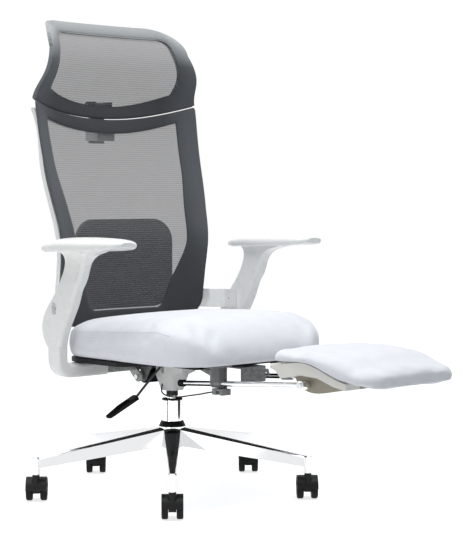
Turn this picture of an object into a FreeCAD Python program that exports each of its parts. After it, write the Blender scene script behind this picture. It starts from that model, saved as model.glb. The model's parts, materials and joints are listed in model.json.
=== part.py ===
import FreeCAD, Part
import os
from math import atan2, cos, degrees, pi, radians, sin, tan

# Reclining office chair with a slide-out footrest. Millimetres, +Z up, the sitter faces -Y.
# The origin is on the floor, on the axis of the column. The sitter's right hand is at -X.

V = FreeCAD.Vector
AXIS_X = V(1, 0, 0)
AXIS_Y = V(0, 1, 0)
AXIS_Z = V(0, 0, 1)

# Fits
running_gap = 0.05
body_gap = 0.6
screw_head_radius = 5.0
screw_head_height = 3.0
screw_radius = 2.5
soft_draw = 9.0

# Star base
leg_count = 5
base_heading = -131.0
stem_circle = 335.0
hub_radius = 31.0
hub_bottom = 98.0
hub_top = 163.0
leg_root_width = 52.0
leg_tip_width = 22.0
leg_tip_top = 105.0
leg_tip_bottom = 79.0
leg_root_bottom = 119.0
leg_crown = 5.0
leg_wall = 3.5
boss_radius = 11.0
boss_bottom = 66.0

# Twin-wheel castors
wheel_radius = 25.0
wheel_width = 15.0
wheel_edge = 2.5
web_width = 17.5
wheel_side_gap = 0.6
castor_trail = 19.0
fender_gap = 3.0
fender_wall = 3.0
web_low = 20.5
axle_radius = 3.0
stem_radius = 5.5
pin_radius = 4.0
stem_flange_radius = 8.0
stem_flange = 2.0
stem_rise = 26.0
pin_drop = 24.0

# Gas lift
outer_tube_radius = 25.0
outer_tube_wall = 3.0
outer_tube_taper = 1.4
outer_tube_bottom = 90.0
outer_tube_top = 226.0
outer_tube_floor = 5.0
bush_lip = 3.0
bush_depth = 24.0
inner_tube_radius = 14.0
inner_tube_wall = 2.0
inner_tube_bottom = 130.0
inner_tube_floor = 8.0
inner_tube_taper = 0.8
rod_radius = 5.0
piston_height = 15.0
piston_bottom = 220.0
bearing_radius = 11.0
bearing_height = 6.0
shoulder_height = 3.0
release_pin_radius = 4.0
release_pin_length = 34.0
collar_height = 13.0
collar_radius = 32.5

# Column block and seat plate
tube_top_drop = 18.0
block_bottom = 250.0
block_top = 323.0
block_width = 61.0
block_corner = 9.0
socket_width = 50.0
block_shoulder = 286.0
nose_width = 40.0
nose_reach = 44.0
nose_low = 287.0
nose_high = 310.0
plate_thickness = 4.0
plate_half_width = 104.0
plate_front = -120.0
plate_rear = 104.0

# Recline hinge
hinge_y = 48.0
hinge_z = 282.0
hinge_radius = 6.0
hinge_half_length = 74.0
cheek_x = 50.0
cheek_thickness = 4.0
drum_radius = 16.5
drum_wall = 2.5
spring_radius = 12.0
link_x = 62.0
link_thickness = 6.0
link_radius = 12.0
bar_front = 60.0
bar_rear = 94.0
bar_low = 297.0
bar_high = 321.0
bar_wall = 3.0
bar_end_inset = 20.0

# Lever
lever_wire = 6.0
lever_pivot_x = -25.0
lever_pivot_z = 315.0
lever_tip_radius = 3.0
lever_gap = 0.4
lever_slot_width = 9.0
lever_bends = [V(-41, 0, 304), V(-66, 0, 283), V(-118, 0, 236)]
grip_root = V(-111, 0, 242)
grip_tip = V(-199, 0, 203)
grip_width = 21.0
grip_thickness = 9.0
grip_ribs = 6

# Seat
seat_half_width = 250.0
seat_front = -330.0
seat_rear = 150.0
seat_front_radius = 115.0
seat_rear_radius = 80.0
pan_thickness = 10.0
pan_inset = 17.0
pan_front_inset = 82.0
pan_waist_inset = 105.0
pan_waist_y = -75.0
pan_waist_run = 55.0
# Sections of the cushion: share of its length from the rear, inset of the side, edge and crown above the pan
cushion_sections = [
    (0.0, 80, 57, 70), (0.0125, 50, 63, 76), (0.046, 25, 68, 81), (0.115, 4, 71, 85), (0.23, 0, 76, 91),
    (0.40, 0, 88, 103), (0.55, 0, 96, 108), (0.68, 0, 97, 108), (0.78, 0.5, 94, 105), (0.865, 11, 84, 96),
    (0.927, 32, 70, 81), (0.973, 62, 53, 62), (1.0, 110, 33, 39)]
cushion_low = -1.0

# Slide rods of the footrest
slide_x = 110.0
slide_radius = 6.0
slide_rear_y = -158.0
slide_rear_z = 288.0
slide_slope = 4.2
slide_length = 388.0
cap_length = 16.0
cap_radius = 8.0
cap_wall = 1.4
cap_floor = 4.0
guide_y = -281.0
guide_depth = 34.0
guide_radius = 9.0
guide_web = 16.0
guide_flange = 56.0
guide_flange_height = 4.0
guide_tail = 42.0
guide_tail_height = 13.0
middle_plate_width = 76.0
middle_plate_low = 291.0
middle_plate_thickness = 3.0
middle_plate_depth = 62.0
latch_height = 13.5
latch_width = 26.0
latch_depth = 34.0
latch_drop = 1.0
jaw_gap = 10.0
jaw_roof = 4.0

# Footrest
hinge_bar_radius = 6.0
shell_half_width = 134.0
hinge_block_width = 180.0
pad_overhang = 16.0
# Side views of the footrest, as distance forwards of its hinge and height above it
shell_seam = [(-82, 38), (-25, 46), (19, 50), (68, 40), (110, 25), (146, 16)]
shell_nose = (-92, 35)
shell_underside = [(146, 3), (110, -1), (55, -13), (0, -16.5), (-28, -5), (-46, 17), (-88, 29)]
shell_pocket = [(-75, -17), (-46, 12), (11, 24), (65, 22), (110, 8), (139, 3), (155, -27), (-75, -37)]
shell_front_corner = 40.0
shell_rear_corner = 34.0
# Sections of the pad: distance forwards of the hinge, inset of the side, underside, edge and crown above the hinge
pad_sections = [
    (-87, 54, 46, 56, 60), (-79, 32, 41, 61, 68), (-65, 16, 40, 65, 72), (-25, 4, 46, 67, 74),
    (19, 0, 50, 68, 75), (68, 0, 40, 66, 75), (110, 0, 25, 60, 73), (145, 0, 17, 51, 65),
    (170, 1, 14, 41, 54), (195, 6, 9, 36, 46), (212, 18, 5, 32, 40), (223, 38, 6, 27, 33)]

# Cable of the latch
cable_radius = 1.75
cable_route = [
    V(-22, 6, 271), V(-36, 2, 252), V(-38, -14, 241), V(-34, -40, 238), V(-38, -76, 242),
    V(-50, -116, 250), V(-67, -158, 257), V(-86, -202, 265), V(-102, -246, 274), V(-110, -282, 280)]
latch_rear = -276.0

# Back
back_top_corner = 943.0
back_top_middle = 905.0
back_bottom = 400.0
back_bottom_radius = 62.0
back_half_width = seat_half_width + 3.0
# Sides of the border, the frame and the mesh window, as height and inset from the half width
back_outline = [(470, 24), (610, 20), (760, 6), (900, 0)]
frame_outline = [(470, 21), (610, 17), (740, 7), (830, 10), (900, 17)]
back_window = [
    (436, 149), (455, 133), (500, 119), (548, 96), (594, 78), (640, 73), (692, 67), (764, 55), (802, 52)]
window_top_inset = 48.0
border_width = 42.0
border_middle_width = 36.0
bow_width = back_half_width + 7.0
bow_power = 3
bow_steps = 10
# Stations of the bowed sheet: height, depth at the bow's width and depth of the bow
back_stations = [
    (380, 131.5, 43.5), (450, 127.4, 43.6), (520, 120.3, 44.7), (610, 113.4, 46.6),
    (690, 133.9, 50.1), (800, 168, 55), (880, 185.4, 58.6), (990, 202.5, 61.5)]
border_front = -2.0
border_rear = 6.0
frame_width = 34.0
frame_low_width = 18.0
frame_low_radius = 46.0
frame_top_inset = 17.0
frame_rear = 20.0
mesh_front = 1.0
mesh_rear = 3.0

# Lumbar pad
lumbar_half_width = 152.0
lumbar_low = 437.0
lumbar_high = 657.0
lumbar_radius = 58.0
lumbar_thickness = 12.0
lumbar_front_middle = 187.0
lumbar_sag = 14.0
lumbar_bar_low = 486.0
lumbar_bar_high = 514.0
lumbar_bar_thickness = 8.0
lumbar_travel = 15.0
lumbar_stud_half = 5.0
lumbar_stud_gap = 0.4
lumbar_guide_half = 26.0
lumbar_guide_rim = 12.0
strap_inner = lumbar_half_width + 16.0
strap_outer = 212.0
strap_end_front = 150.0
strap_end_rear = 163.0
strap_ramp = 22.0

# Headrest
head_gap = 4.0
head_base = back_top_corner + head_gap
head_height = 196.0
head_corner = 73.0
# Sides of the headrest and of its window, as height above its lower corner and inset from the back's half width
head_outline = [(0, 1), (50, 14), (87, 26)]
head_shoulder = 39.0
head_window_sides = [(26, 59), (50, 57.5), (87, 62)]
head_window_shoulder = 73.0
head_window_corner = 29.0
head_border_low = 28.0
head_border_top = 33.0
# Stations of the headrest's bowed sheet, with heights above its lower corner
head_stations = [
    (-67, 185, 58.6), (-7, 196, 60), (13, 191, 60), (50, 165, 60), (87, 151, 60), (123, 156, 60),
    (167, 182, 60), (194, 220, 60), (218, 262, 60)]
head_border_thickness = 14.0
head_mesh_front = 4.0
head_mesh_rear = 7.0
post_width = 44.0
post_thickness = 8.0
post_y = 289.0
post_gap = 0.3
sleeve_wall = 5.0
sleeve_reach = 30.0
sleeve_high = back_top_middle - 15.0
sleeve_low = sleeve_high - 38.0
post_low = sleeve_low - 6.0
head_hinge_z = back_top_middle + 35.0
head_hinge_radius = 4.0
post_eye_radius = 9.0
lug_eye_radius = 10.0
lug_thickness = 7.0
lug_side_gap = 0.6
lug_reach = 40.0

# Arms
arm_gap = 16.0
arm_half_thickness = 16.0
arm_x = seat_half_width + arm_gap + arm_half_thickness
bar_half_length = arm_x - bar_end_inset
# Level sections of the arm: height, front, rear and half thickness
arm_sections = [
    (366, 57, 106, 16), (389, 50, 123, 15), (420, 36, 126, 15), (455, 15, 108, 15),
    (505, -8, 66, 15), (540, -28, 45, 15), (572, -47, 38, 16), (584, -72, 44, 20), (592, -100, 50, 26)]
slot_y = 74.0
slot_z = 455.0
slot_width = 17.0
slot_height = 28.0
slot_depth = 12.0
cover_width = 43.0
cover_y = 79.0
cover_end = 150.0
cover_bend = 27.0
cover_corner = 9.0
lug_low = 432.0
lug_high = 478.0
lug_front = 56.0
ear_thickness = 12.0
arm_pad_x = arm_x + 11.0
arm_pad_half_width = 45.0
# Upright sections of the arm pad: place, inset of the side, underside, edge and crown
arm_pad_sections = [
    (92, 25, 592, 599, 602), (80, 11, 588, 602, 607), (50, 3, 587, 608, 615), (10, 0, 588, 612, 620),
    (-50, 0, 590, 614, 622), (-110, 0, 592, 614, 622), (-160, 2, 596, 614, 620), (-180, 11, 600, 612, 617),
    (-190, 25, 603, 610, 613)]

pan_bottom = block_top + plate_thickness
pan_top = pan_bottom + pan_thickness
castor_angle = base_heading + 180.0
inner_tube_top = block_top - tube_top_drop


def cylinder(radius, length, start, direction=AXIS_Z):
    return Part.makeCylinder(radius, length, start, direction)


def across(radius, half_length, y, z):
    """Round bar along X, centred on x = 0."""
    return cylinder(radius, 2 * half_length, V(-half_length, y, z), AXIS_X)


def box(x0, x1, y0, y1, z0, z1):
    return Part.makeBox(x1 - x0, y1 - y0, z1 - z0, V(x0, y0, z0))


def line(a, b):
    return Part.LineSegment(a, b).toShape()


def arc(a, b, c):
    return Part.Arc(a, b, c).toShape()


def polygon_prism(points, depth):
    """Flat outline of straight sides, pushed along the vector depth."""
    face = Part.Face(Part.makePolygon(points + [points[0]]))
    return face.extrude(depth)


def level_outline(x0, x1, y0, y1, front_radius, rear_radius, z):
    """Rounded rectangle in a level plane, with its own corner radius at the front and at the rear."""
    corners = [
        (x1 - front_radius, y0 + front_radius, front_radius, -90),
        (x1 - rear_radius, y1 - rear_radius, rear_radius, 0),
        (x0 + rear_radius, y1 - rear_radius, rear_radius, 90),
        (x0 + front_radius, y0 + front_radius, front_radius, 180)]
    arcs = []
    for centre_x, centre_y, radius, start in corners:
        points = []
        for turn in (0, 45, 90):
            angle = radians(start + turn)
            points.append(V(centre_x + radius * cos(angle), centre_y + radius * sin(angle), z))
        arcs.append(points)
    edges = []
    for index, points in enumerate(arcs):
        previous = arcs[index - 1]
        edges.append(line(previous[2], points[0]))
        edges.append(arc(*points))
    return Part.Wire(edges)


def spline(points):
    curve = Part.BSplineCurve()
    curve.interpolate(points)
    return curve.toShape()


def swapped(point):
    return V(-point.x, point.y, point.z)


def soft_section(x, y, half, low, edge, crown):
    """Upright section of a cushion: flat underside, bulged sides, round shoulders and a crowned top."""
    height = edge - low
    rise = crown - edge
    draw = min(soft_draw, 0.28 * height)
    shoulder = half - 1.4 * draw
    right = [
        V(half - draw, y, low), V(half, y, low + 0.4 * height), V(half - 0.3 * draw, y, low + 0.78 * height),
        V(shoulder, y, edge + 0.1 * rise), V(0.72 * shoulder, y, edge + 0.62 * rise),
        V(0.38 * shoulder, y, edge + 0.9 * rise)]
    over = right + [V(0, y, crown)] + [swapped(point) for point in right[::-1]]
    wire = Part.Wire([spline(over), line(over[-1], over[0])])
    wire.translate(V(x, 0, 0))
    return wire


def fuse(shapes):
    return shapes[0].multiFuse(shapes[1:]).removeSplitter()


def mirrored(shape):
    return shape.mirror(V(0, 0, 0), AXIS_X)


def save(name, *shapes):
    solids = []
    for shape in shapes:
        solids.extend(shape.Solids)
    result = solids[0] if len(solids) == 1 else Part.makeCompound(solids)
    for solid in solids:
        if not solid.isValid() or solid.Volume <= 0:
            print("check", name, solid.isValid(), solid.Volume)
    result.exportStep("parts/" + name + ".step")


# Star base

def leg_section(x, half_width, low, high, crown):
    """Upright section of a leg: flat underside, leaning sides and an arched top."""
    shoulder = high - crown
    left = V(x, half_width, low)
    right = V(x, -half_width, low)
    left_top = V(x, 0.78 * half_width, shoulder)
    right_top = V(x, -0.78 * half_width, shoulder)
    return Part.Wire([line(left, right), line(right, right_top), arc(right_top, V(x, 0, high), left_top),
                      line(left_top, left)])


def star_leg():
    root = hub_radius - 12
    solid = Part.makeLoft([
        leg_section(root, leg_root_width / 2, leg_root_bottom, hub_top - 1, leg_crown),
        leg_section(stem_circle, leg_tip_width / 2, leg_tip_bottom, leg_tip_top, leg_crown)], True, True)
    start = hub_radius + 8
    end = stem_circle - boss_radius - 6
    run = stem_circle - root

    def hollow(x):
        share = (x - root) / run
        half = leg_root_width / 2 + share * (leg_tip_width - leg_root_width) / 2 - leg_wall
        low = leg_root_bottom + share * (leg_tip_bottom - leg_root_bottom) - 0.5
        high = hub_top - 1 + share * (leg_tip_top - hub_top + 1) - leg_wall
        return leg_section(x, half, low, high, leg_crown)

    solid = solid.cut(Part.makeLoft([hollow(start), hollow(end)], True, True))
    boss = cylinder(boss_radius, leg_tip_top - 3 - boss_bottom, V(stem_circle, 0, boss_bottom))
    cap = Part.makeCone(boss_radius, boss_radius - 3, 3, V(stem_circle, 0, leg_tip_top - 3))
    return solid.fuse(boss).fuse(cap)


def column_taper(clearance=0.0):
    """The tapered foot of the gas lift's outer tube, which wedges in the hub."""
    top = outer_tube_radius + clearance
    return Part.makeCone(top - outer_tube_taper, top, hub_top - outer_tube_bottom, V(0, 0, outer_tube_bottom))


def base_star():
    leg = star_leg()
    parts = [cylinder(hub_radius, hub_top - hub_bottom, V(0, 0, hub_bottom))]
    for index in range(leg_count):
        turned = leg.copy()
        turned.rotate(V(0, 0, 0), AXIS_Z, base_heading + index * 360 / leg_count)
        parts.append(turned)
    star = fuse(parts).cut(column_taper())
    for x, y in stem_places():
        star = star.cut(cylinder(stem_radius, stem_rise, V(x, y, boss_bottom)))
    save("base_star", star)


def stem_places():
    places = []
    for index in range(leg_count):
        angle = radians(base_heading + index * 360 / leg_count)
        places.append((stem_circle * cos(angle), stem_circle * sin(angle)))
    return places


# Castors

def castor_stems():
    stems = []
    for x, y in stem_places():
        upper = cylinder(stem_radius, stem_rise, V(x, y, boss_bottom))
        flange = cylinder(stem_flange_radius, stem_flange, V(x, y, boss_bottom - stem_flange))
        pin = cylinder(pin_radius, pin_drop, V(x, y, boss_bottom - stem_flange - pin_drop))
        stems.append(fuse([upper, flange, pin]))
    save("castor_stems", *stems)


def castor_hood():
    """Hood of one castor, rolling towards -X, with its stem axis on the Z axis."""
    axle = V(castor_trail, 0, wheel_radius)
    outer = wheel_radius + fender_gap + fender_wall
    inner = wheel_radius + fender_gap
    half = web_width / 2 + wheel_side_gap + wheel_width
    ring = cylinder(outer, 2 * half, V(axle.x, -half, axle.z), AXIS_Y)
    ring = ring.cut(cylinder(inner, 2 * half, V(axle.x, -half, axle.z), AXIS_Y))
    keep = polygon_prism([
        V(axle.x, -half, axle.z), V(axle.x - 2 * outer, -half, axle.z + 4),
        V(axle.x - 2 * outer, -half, axle.z + 2 * outer), V(axle.x + 2 * outer, -half, axle.z + 2 * outer),
        V(axle.x + 2 * outer, -half, axle.z + 4)], V(0, 2 * half, 0))
    fender = ring.common(keep)
    web = cylinder(inner + 0.5, web_width, V(axle.x, -web_width / 2, axle.z), AXIS_Y)
    web = web.cut(box(-100, 100, -half, half, -60, web_low))
    top = boss_bottom - stem_flange - body_gap
    boss = cylinder(pin_radius + 4.5, top - 34, V(0, 0, 34))
    boss = boss.cut(cylinder(inner, half, V(axle.x, web_width / 2, axle.z), AXIS_Y))
    boss = boss.cut(cylinder(inner, half, V(axle.x, -web_width / 2 - half, axle.z), AXIS_Y))
    body = fuse([fender, web, boss])
    bore_depth = pin_drop + 1
    body = body.cut(cylinder(pin_radius + running_gap, bore_depth + 5, V(0, 0, top - bore_depth)))
    return body.cut(cylinder(axle_radius + running_gap, web_width + 2, V(axle.x, -web_width / 2 - 1, axle.z),
                             AXIS_Y))


def castor_wheel(side):
    """One wheel of the pair, turned about the axle, with a dished outer face."""
    near = web_width / 2 + wheel_side_gap
    far = near + wheel_width
    outline = [
        (axle_radius, near), (wheel_radius - wheel_edge, near), (wheel_radius, near + wheel_edge),
        (wheel_radius, far - wheel_edge), (wheel_radius - wheel_edge, far), (wheel_radius - 6, far),
        (wheel_radius - 8, far - 2), (axle_radius, far - 2)]
    points = [V(castor_trail, side * y, wheel_radius + r) for r, y in outline]
    face = Part.Face(Part.makePolygon(points + [points[0]]))
    return face.revolve(V(castor_trail, 0, wheel_radius), AXIS_Y, 360)


def castors():
    hood = castor_hood()
    wheels = [castor_wheel(1), castor_wheel(-1)]
    half = web_width / 2 + wheel_side_gap + wheel_width - 2
    axle = cylinder(axle_radius, 2 * half, V(castor_trail, -half, wheel_radius), AXIS_Y)
    for number, (x, y) in enumerate(stem_places(), 1):
        place = FreeCAD.Placement(V(x, y, 0), FreeCAD.Rotation(AXIS_Z, castor_angle))
        for name, shapes in (("hood", [hood]), ("wheels", wheels), ("axle", [axle])):
            moved = []
            for shape in shapes:
                copy = shape.copy()
                copy.Placement = place
                moved.append(copy)
            save("castor_%d_%s" % (number, name), *moved)


# Gas lift

def outer_tube():
    tube = fuse([column_taper(), cylinder(outer_tube_radius, outer_tube_top - hub_top, V(0, 0, hub_top))])
    bore = outer_tube_radius - outer_tube_wall
    floor = outer_tube_bottom + outer_tube_floor
    tube = tube.cut(cylinder(bore, outer_tube_top - floor, V(0, 0, floor)))
    tube = tube.cut(cylinder(rod_radius + running_gap, outer_tube_floor + 2, V(0, 0, outer_tube_bottom - 1)))
    save("column_tube", tube)


def guide_bush():
    bore = outer_tube_radius - outer_tube_wall
    lip = cylinder(outer_tube_radius - 0.4, bush_lip, V(0, 0, outer_tube_top))
    spigot = cylinder(bore, bush_depth, V(0, 0, outer_tube_top - bush_depth))
    bush = fuse([lip, spigot])
    passage = cylinder(inner_tube_radius + running_gap, bush_depth + bush_lip + 2,
                       V(0, 0, outer_tube_top - bush_depth - 1))
    save("column_bush", bush.cut(passage))


def column_collar():
    cone = Part.makeCone(collar_radius, outer_tube_radius + 1.5, collar_height, V(0, 0, hub_top))
    save("column_collar", cone.cut(cylinder(outer_tube_radius, collar_height + 2, V(0, 0, hub_top - 1))))


def thrust_bearing():
    floor = outer_tube_bottom + outer_tube_floor
    ring = cylinder(bearing_radius, bearing_height, V(0, 0, floor))
    save("thrust_bearing", ring.cut(cylinder(rod_radius + running_gap, bearing_height + 2, V(0, 0, floor - 1))))


def piston_rod():
    seat = outer_tube_bottom + outer_tube_floor + bearing_height + 0.1
    rod = cylinder(rod_radius, piston_bottom - outer_tube_bottom, V(0, 0, outer_tube_bottom))
    shoulder = cylinder(bearing_radius - 1, shoulder_height, V(0, 0, seat))
    piston = cylinder(inner_tube_radius - inner_tube_wall - running_gap, piston_height, V(0, 0, piston_bottom))
    save("piston_rod", fuse([rod, shoulder, piston]))


def socket_taper():
    """The tapered head of the inner tube, which wedges in the column block."""
    height = inner_tube_top - block_bottom
    return Part.makeCone(inner_tube_radius, inner_tube_radius - inner_tube_taper, height, V(0, 0, block_bottom))


def inner_tube():
    tube = fuse([cylinder(inner_tube_radius, block_bottom - inner_tube_bottom, V(0, 0, inner_tube_bottom)),
                 socket_taper()])
    low = inner_tube_bottom + inner_tube_floor
    high = inner_tube_top - release_pin_length + 6
    tube = tube.cut(cylinder(inner_tube_radius - inner_tube_wall, high - low, V(0, 0, low)))
    tube = tube.cut(cylinder(rod_radius + running_gap, inner_tube_floor + 2, V(0, 0, inner_tube_bottom - 1)))
    tube = tube.cut(cylinder(release_pin_radius + running_gap, 60, V(0, 0, high - 1)))
    save("inner_tube", tube)


def release_pin_top():
    return lever_pivot_z - lever_tip_radius - lever_gap


def release_pin():
    pin = cylinder(release_pin_radius, release_pin_length, V(0, 0, release_pin_top() - release_pin_length))
    save("release_pin", pin)


# Column block, seat plate and recline hinge

def column_block():
    half = block_width / 2
    low_half = socket_width / 2
    foot = Part.makeLoft([
        level_outline(-low_half, low_half, -low_half, low_half, low_half - 4, low_half - 4, block_bottom),
        level_outline(-half, half, -half, half, block_corner, block_corner, block_shoulder)], True, True)
    upper = Part.Face(level_outline(-half, half, -half, half, block_corner, block_corner, block_shoulder))
    upper = upper.extrude(V(0, 0, block_top - block_shoulder))
    nose = box(-33, -33 + nose_width, -half - nose_reach, -half + 1, nose_low, nose_high)
    ramp = polygon_prism([
        V(-34, -half - nose_reach - 1, nose_low - 1), V(-34, -half - 8, nose_low - 1),
        V(-34, -half - nose_reach - 1, nose_low + 13)], V(nose_width + 2, 0, 0))
    block = fuse([foot, upper, nose.cut(ramp)])
    block = block.cut(socket_taper())
    chamber_low = inner_tube_top - 0.5
    block = block.cut(cylinder(release_pin_radius + 4, block_top - chamber_low + 1, V(0, 0, chamber_low)))
    slot = lever_slot_width / 2
    passage = polygon_prism([
        V(5, -slot, block_top + 1), V(5, -slot, chamber_low), V(lever_pivot_x + 10, -slot, 303),
        V(-half - 5, -slot, 288), V(-half - 5, -slot, block_top + 1)], V(0, 2 * slot, 0))
    save("column_block", block.cut(passage).cut(wire_solid(cable_route, cable_radius)[0]))


def seat_plate():
    """Pressed plate under the pan, with two cheeks that hold the hinge shaft."""
    low = block_top
    sheet = Part.Face(level_outline(-plate_half_width, plate_half_width, plate_front, plate_rear, 24, 24, low))
    parts = [sheet.extrude(V(0, 0, plate_thickness))]
    for side in (-1, 1):
        x = side * cheek_x - cheek_thickness / 2
        eye = cylinder(13, cheek_thickness, V(x, hinge_y, hinge_z), AXIS_X)
        web = polygon_prism([
            V(x, hinge_y - 12.5, hinge_z - 2), V(x, hinge_y + 9, hinge_z + 9), V(x, hinge_y + 6, low + 1),
            V(x, hinge_y - 42, low + 1)], V(cheek_thickness, 0, 0))
        parts.extend([eye, web])
    plate = fuse(parts).cut(across(hinge_radius, hinge_half_length, hinge_y, hinge_z))
    for x, y in seat_screw_places():
        plate = plate.cut(cylinder(screw_radius, 20, V(x, y, low - 5)))
    save("seat_plate", plate)


def seat_screw_places():
    return [(-84, -96), (84, -96), (-84, 30), (84, 30)]


def seat_screws():
    screws = []
    for x, y in seat_screw_places():
        head = cylinder(screw_head_radius, screw_head_height, V(x, y, block_top - screw_head_height))
        shank = cylinder(screw_radius, plate_thickness + pan_thickness - 2, V(x, y, block_top))
        screws.append(fuse([head, shank]))
    save("seat_screws", *screws)


def recline_hinge():
    save("hinge_shaft", across(hinge_radius, hinge_half_length, hinge_y, hinge_z))
    reach = cheek_x - cheek_thickness / 2
    drum = across(drum_radius, reach, hinge_y, hinge_z)
    drum = drum.cut(across(drum_radius - drum_wall, reach - drum_wall, hinge_y, hinge_z))
    save("spring_drum", drum.cut(across(hinge_radius, reach + 1, hinge_y, hinge_z)))
    coil = across(spring_radius, reach - drum_wall - 1, hinge_y, hinge_z)
    save("recline_spring", coil.cut(across(hinge_radius, reach, hinge_y, hinge_z)))


def back_yoke():
    """Two hinge links and the channel that crosses under the seat to both arms."""
    middle_y = (bar_front + bar_rear) / 2
    middle_z = (bar_low + bar_high) / 2
    channel = box(-bar_half_length, bar_half_length, bar_front, bar_rear, bar_low, bar_high)
    hollow = box(-bar_half_length - 1, bar_half_length + 1, bar_front + bar_wall, bar_rear - bar_wall,
                 bar_low - 1, bar_high - bar_wall)
    parts = [channel.cut(hollow)]
    for side in (-1, 1):
        x = side * (link_x + link_thickness / 2) - link_thickness / 2
        slope = atan2(middle_z - hinge_z, middle_y - hinge_y)
        across_y = -sin(slope) * link_radius
        across_z = cos(slope) * link_radius
        eye = cylinder(link_radius, link_thickness, V(x, hinge_y, hinge_z), AXIS_X)
        arm = polygon_prism([
            V(x, hinge_y - across_y, hinge_z - across_z), V(x, middle_y - across_y, middle_z - across_z),
            V(x, middle_y + 0.7 * across_y, middle_z + 0.7 * across_z),
            V(x, hinge_y + across_y, hinge_z + across_z)], V(link_thickness, 0, 0))
        parts.extend([eye, arm])
    yoke = fuse(parts)
    save("back_yoke", yoke.cut(across(hinge_radius + running_gap, hinge_half_length + 1, hinge_y, hinge_z)))


# Lever

def rounded_path(points, radius_share=0.45):
    """Straight runs joined by tangent arcs. Returns the wire and the radius of each bend."""
    edges = []
    radii = []
    start = points[0]
    for index in range(1, len(points) - 1):
        before = points[index - 1] - points[index]
        after = points[index + 1] - points[index]
        reach = radius_share * min(before.Length, after.Length)
        turn = pi - before.getAngle(after)
        radii.append(reach / tan(turn / 2))
        before.normalize()
        after.normalize()
        first = points[index] + before * reach
        last = points[index] + after * reach
        half = before + after
        half.normalize()
        middle = points[index] + half * (radii[-1] / cos(turn / 2) - radii[-1])
        edges.append(line(start, first))
        edges.append(arc(first, middle, last))
        start = last
    edges.append(line(start, points[-1]))
    return Part.Wire(edges), radii


def wire_solid(points, radius):
    path, radii = rounded_path(points)
    heading = points[1] - points[0]
    ring = Part.Wire([Part.Circle(points[0], heading, radius).toShape()])
    return path.makePipeShell([ring], True, False), path.Length, radii


def lever_wire_solid():
    return wire_solid([V(lever_pivot_x, 0, lever_pivot_z)] + lever_bends, lever_wire / 2)[0]


def lever():
    pivot = V(lever_pivot_x, 0, lever_pivot_z)
    tip = V(0, 0, lever_pivot_z)
    inner = cylinder(lever_tip_radius * 0.8, -lever_pivot_x, tip, V(-1, 0, 0))
    ball = Part.makeSphere(lever_tip_radius, tip)
    hub = cylinder(4.5, lever_slot_width - 1, V(pivot.x, -lever_slot_width / 2 + 0.5, pivot.z), AXIS_Y)
    rod = lever_wire_solid()
    save("lever_rod", fuse([inner, ball, hub, rod]))


def lever_grip():
    along = grip_tip - grip_root
    length = along.Length
    tilt = degrees(atan2(-along.z, -along.x))
    half = grip_width / 2
    thick = grip_thickness / 2
    outline = level_outline(0, length, -half, half, half * 0.55, half * 0.55, 0)
    body = Part.Face(outline).extrude(V(0, 0, grip_thickness))
    body.translate(V(0, 0, -thick))
    nose = polygon_prism([
        V(length + 1, -half - 1, -thick - 1), V(length + 1, -half - 1, thick * 0.2),
        V(length * 0.45, -half - 1, -thick - 1)], V(0, grip_width + 2, 0))
    body = body.cut(nose)
    for index in range(grip_ribs):
        x = length * (0.34 + 0.09 * index)
        body = body.cut(box(x, x + 3, -half + 4, half - 4, thick - 1.2, thick + 1))
    body.Placement = FreeCAD.Placement(grip_root, FreeCAD.Rotation(AXIS_Y, 180 - tilt))
    save("lever_grip", body.cut(lever_wire_solid()))


# Seat

def seat_pan():
    """Moulded pan: as wide as the seat at the rear and narrower from its waist to the front."""
    rear_half = seat_half_width - pan_inset
    front_half = seat_half_width - pan_waist_inset
    front = seat_front + pan_front_inset
    low = level_outline(-rear_half, rear_half, front, seat_rear - pan_inset, 24, seat_rear_radius - pan_inset,
                        pan_bottom)
    pan = Part.Face(low).extrude(V(0, 0, pan_thickness))
    for side in (-1, 1):
        notch = polygon_prism([
            V(side * (rear_half + 1), pan_waist_y, pan_bottom - 1),
            V(side * rear_half, pan_waist_y, pan_bottom - 1),
            V(side * front_half, pan_waist_y - pan_waist_run, pan_bottom - 1),
            V(side * front_half, front - 1, pan_bottom - 1),
            V(side * (rear_half + 1), front - 1, pan_bottom - 1)], V(0, 0, pan_thickness + 2))
        pan = pan.cut(notch)
    for x, y in seat_screw_places():
        pan = pan.cut(cylinder(screw_radius, pan_thickness - 2, V(x, y, pan_bottom)))
    save("seat_pan", pan)


def seat_cushion():
    """Cushion lofted from upright sections: low behind, crowned, with a waterfall front."""
    wires = []
    for share, inset, edge, crown in cushion_sections:
        y = seat_rear + share * (seat_front - seat_rear)
        wires.append(soft_section(0, y, seat_half_width - inset, pan_top + cushion_low, pan_top + edge,
                                  pan_top + crown))
    cushion = Part.makeLoft(wires, True, False)
    below = box(-2 * seat_half_width, 2 * seat_half_width, 2 * seat_front, 2 * seat_rear, 0, pan_top)
    save("seat_cushion", cushion.cut(below))


# Footrest slide

def slide_point(distance):
    """Centre of a rod, measured forwards along it from its rear end."""
    slope = radians(slide_slope)
    return V(0, slide_rear_y - distance * cos(slope), slide_rear_z + distance * sin(slope))


def slide_direction():
    slope = radians(slide_slope)
    return V(0, -cos(slope), sin(slope))


def slide_z(y):
    return slide_rear_z + (slide_rear_y - y) * tan(radians(slide_slope))


def footrest_hinge():
    end = slide_point(slide_length)
    return V(0, end.y, end.z)


def slide_rods():
    hinge = footrest_hinge()
    for name, side in (("slide_rod_right", -1), ("slide_rod_left", 1)):
        start = V(side * slide_x, slide_rear_y, slide_rear_z)
        rod = cylinder(slide_radius, slide_length, start, slide_direction())
        eye = cylinder(slide_radius + 4, 16, V(side * slide_x - 8, hinge.y, hinge.z), AXIS_X)
        rod = fuse([rod, eye])
        save(name, rod.cut(cylinder(hinge_bar_radius, 20, V(side * slide_x - 10, hinge.y, hinge.z), AXIS_X)))


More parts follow.
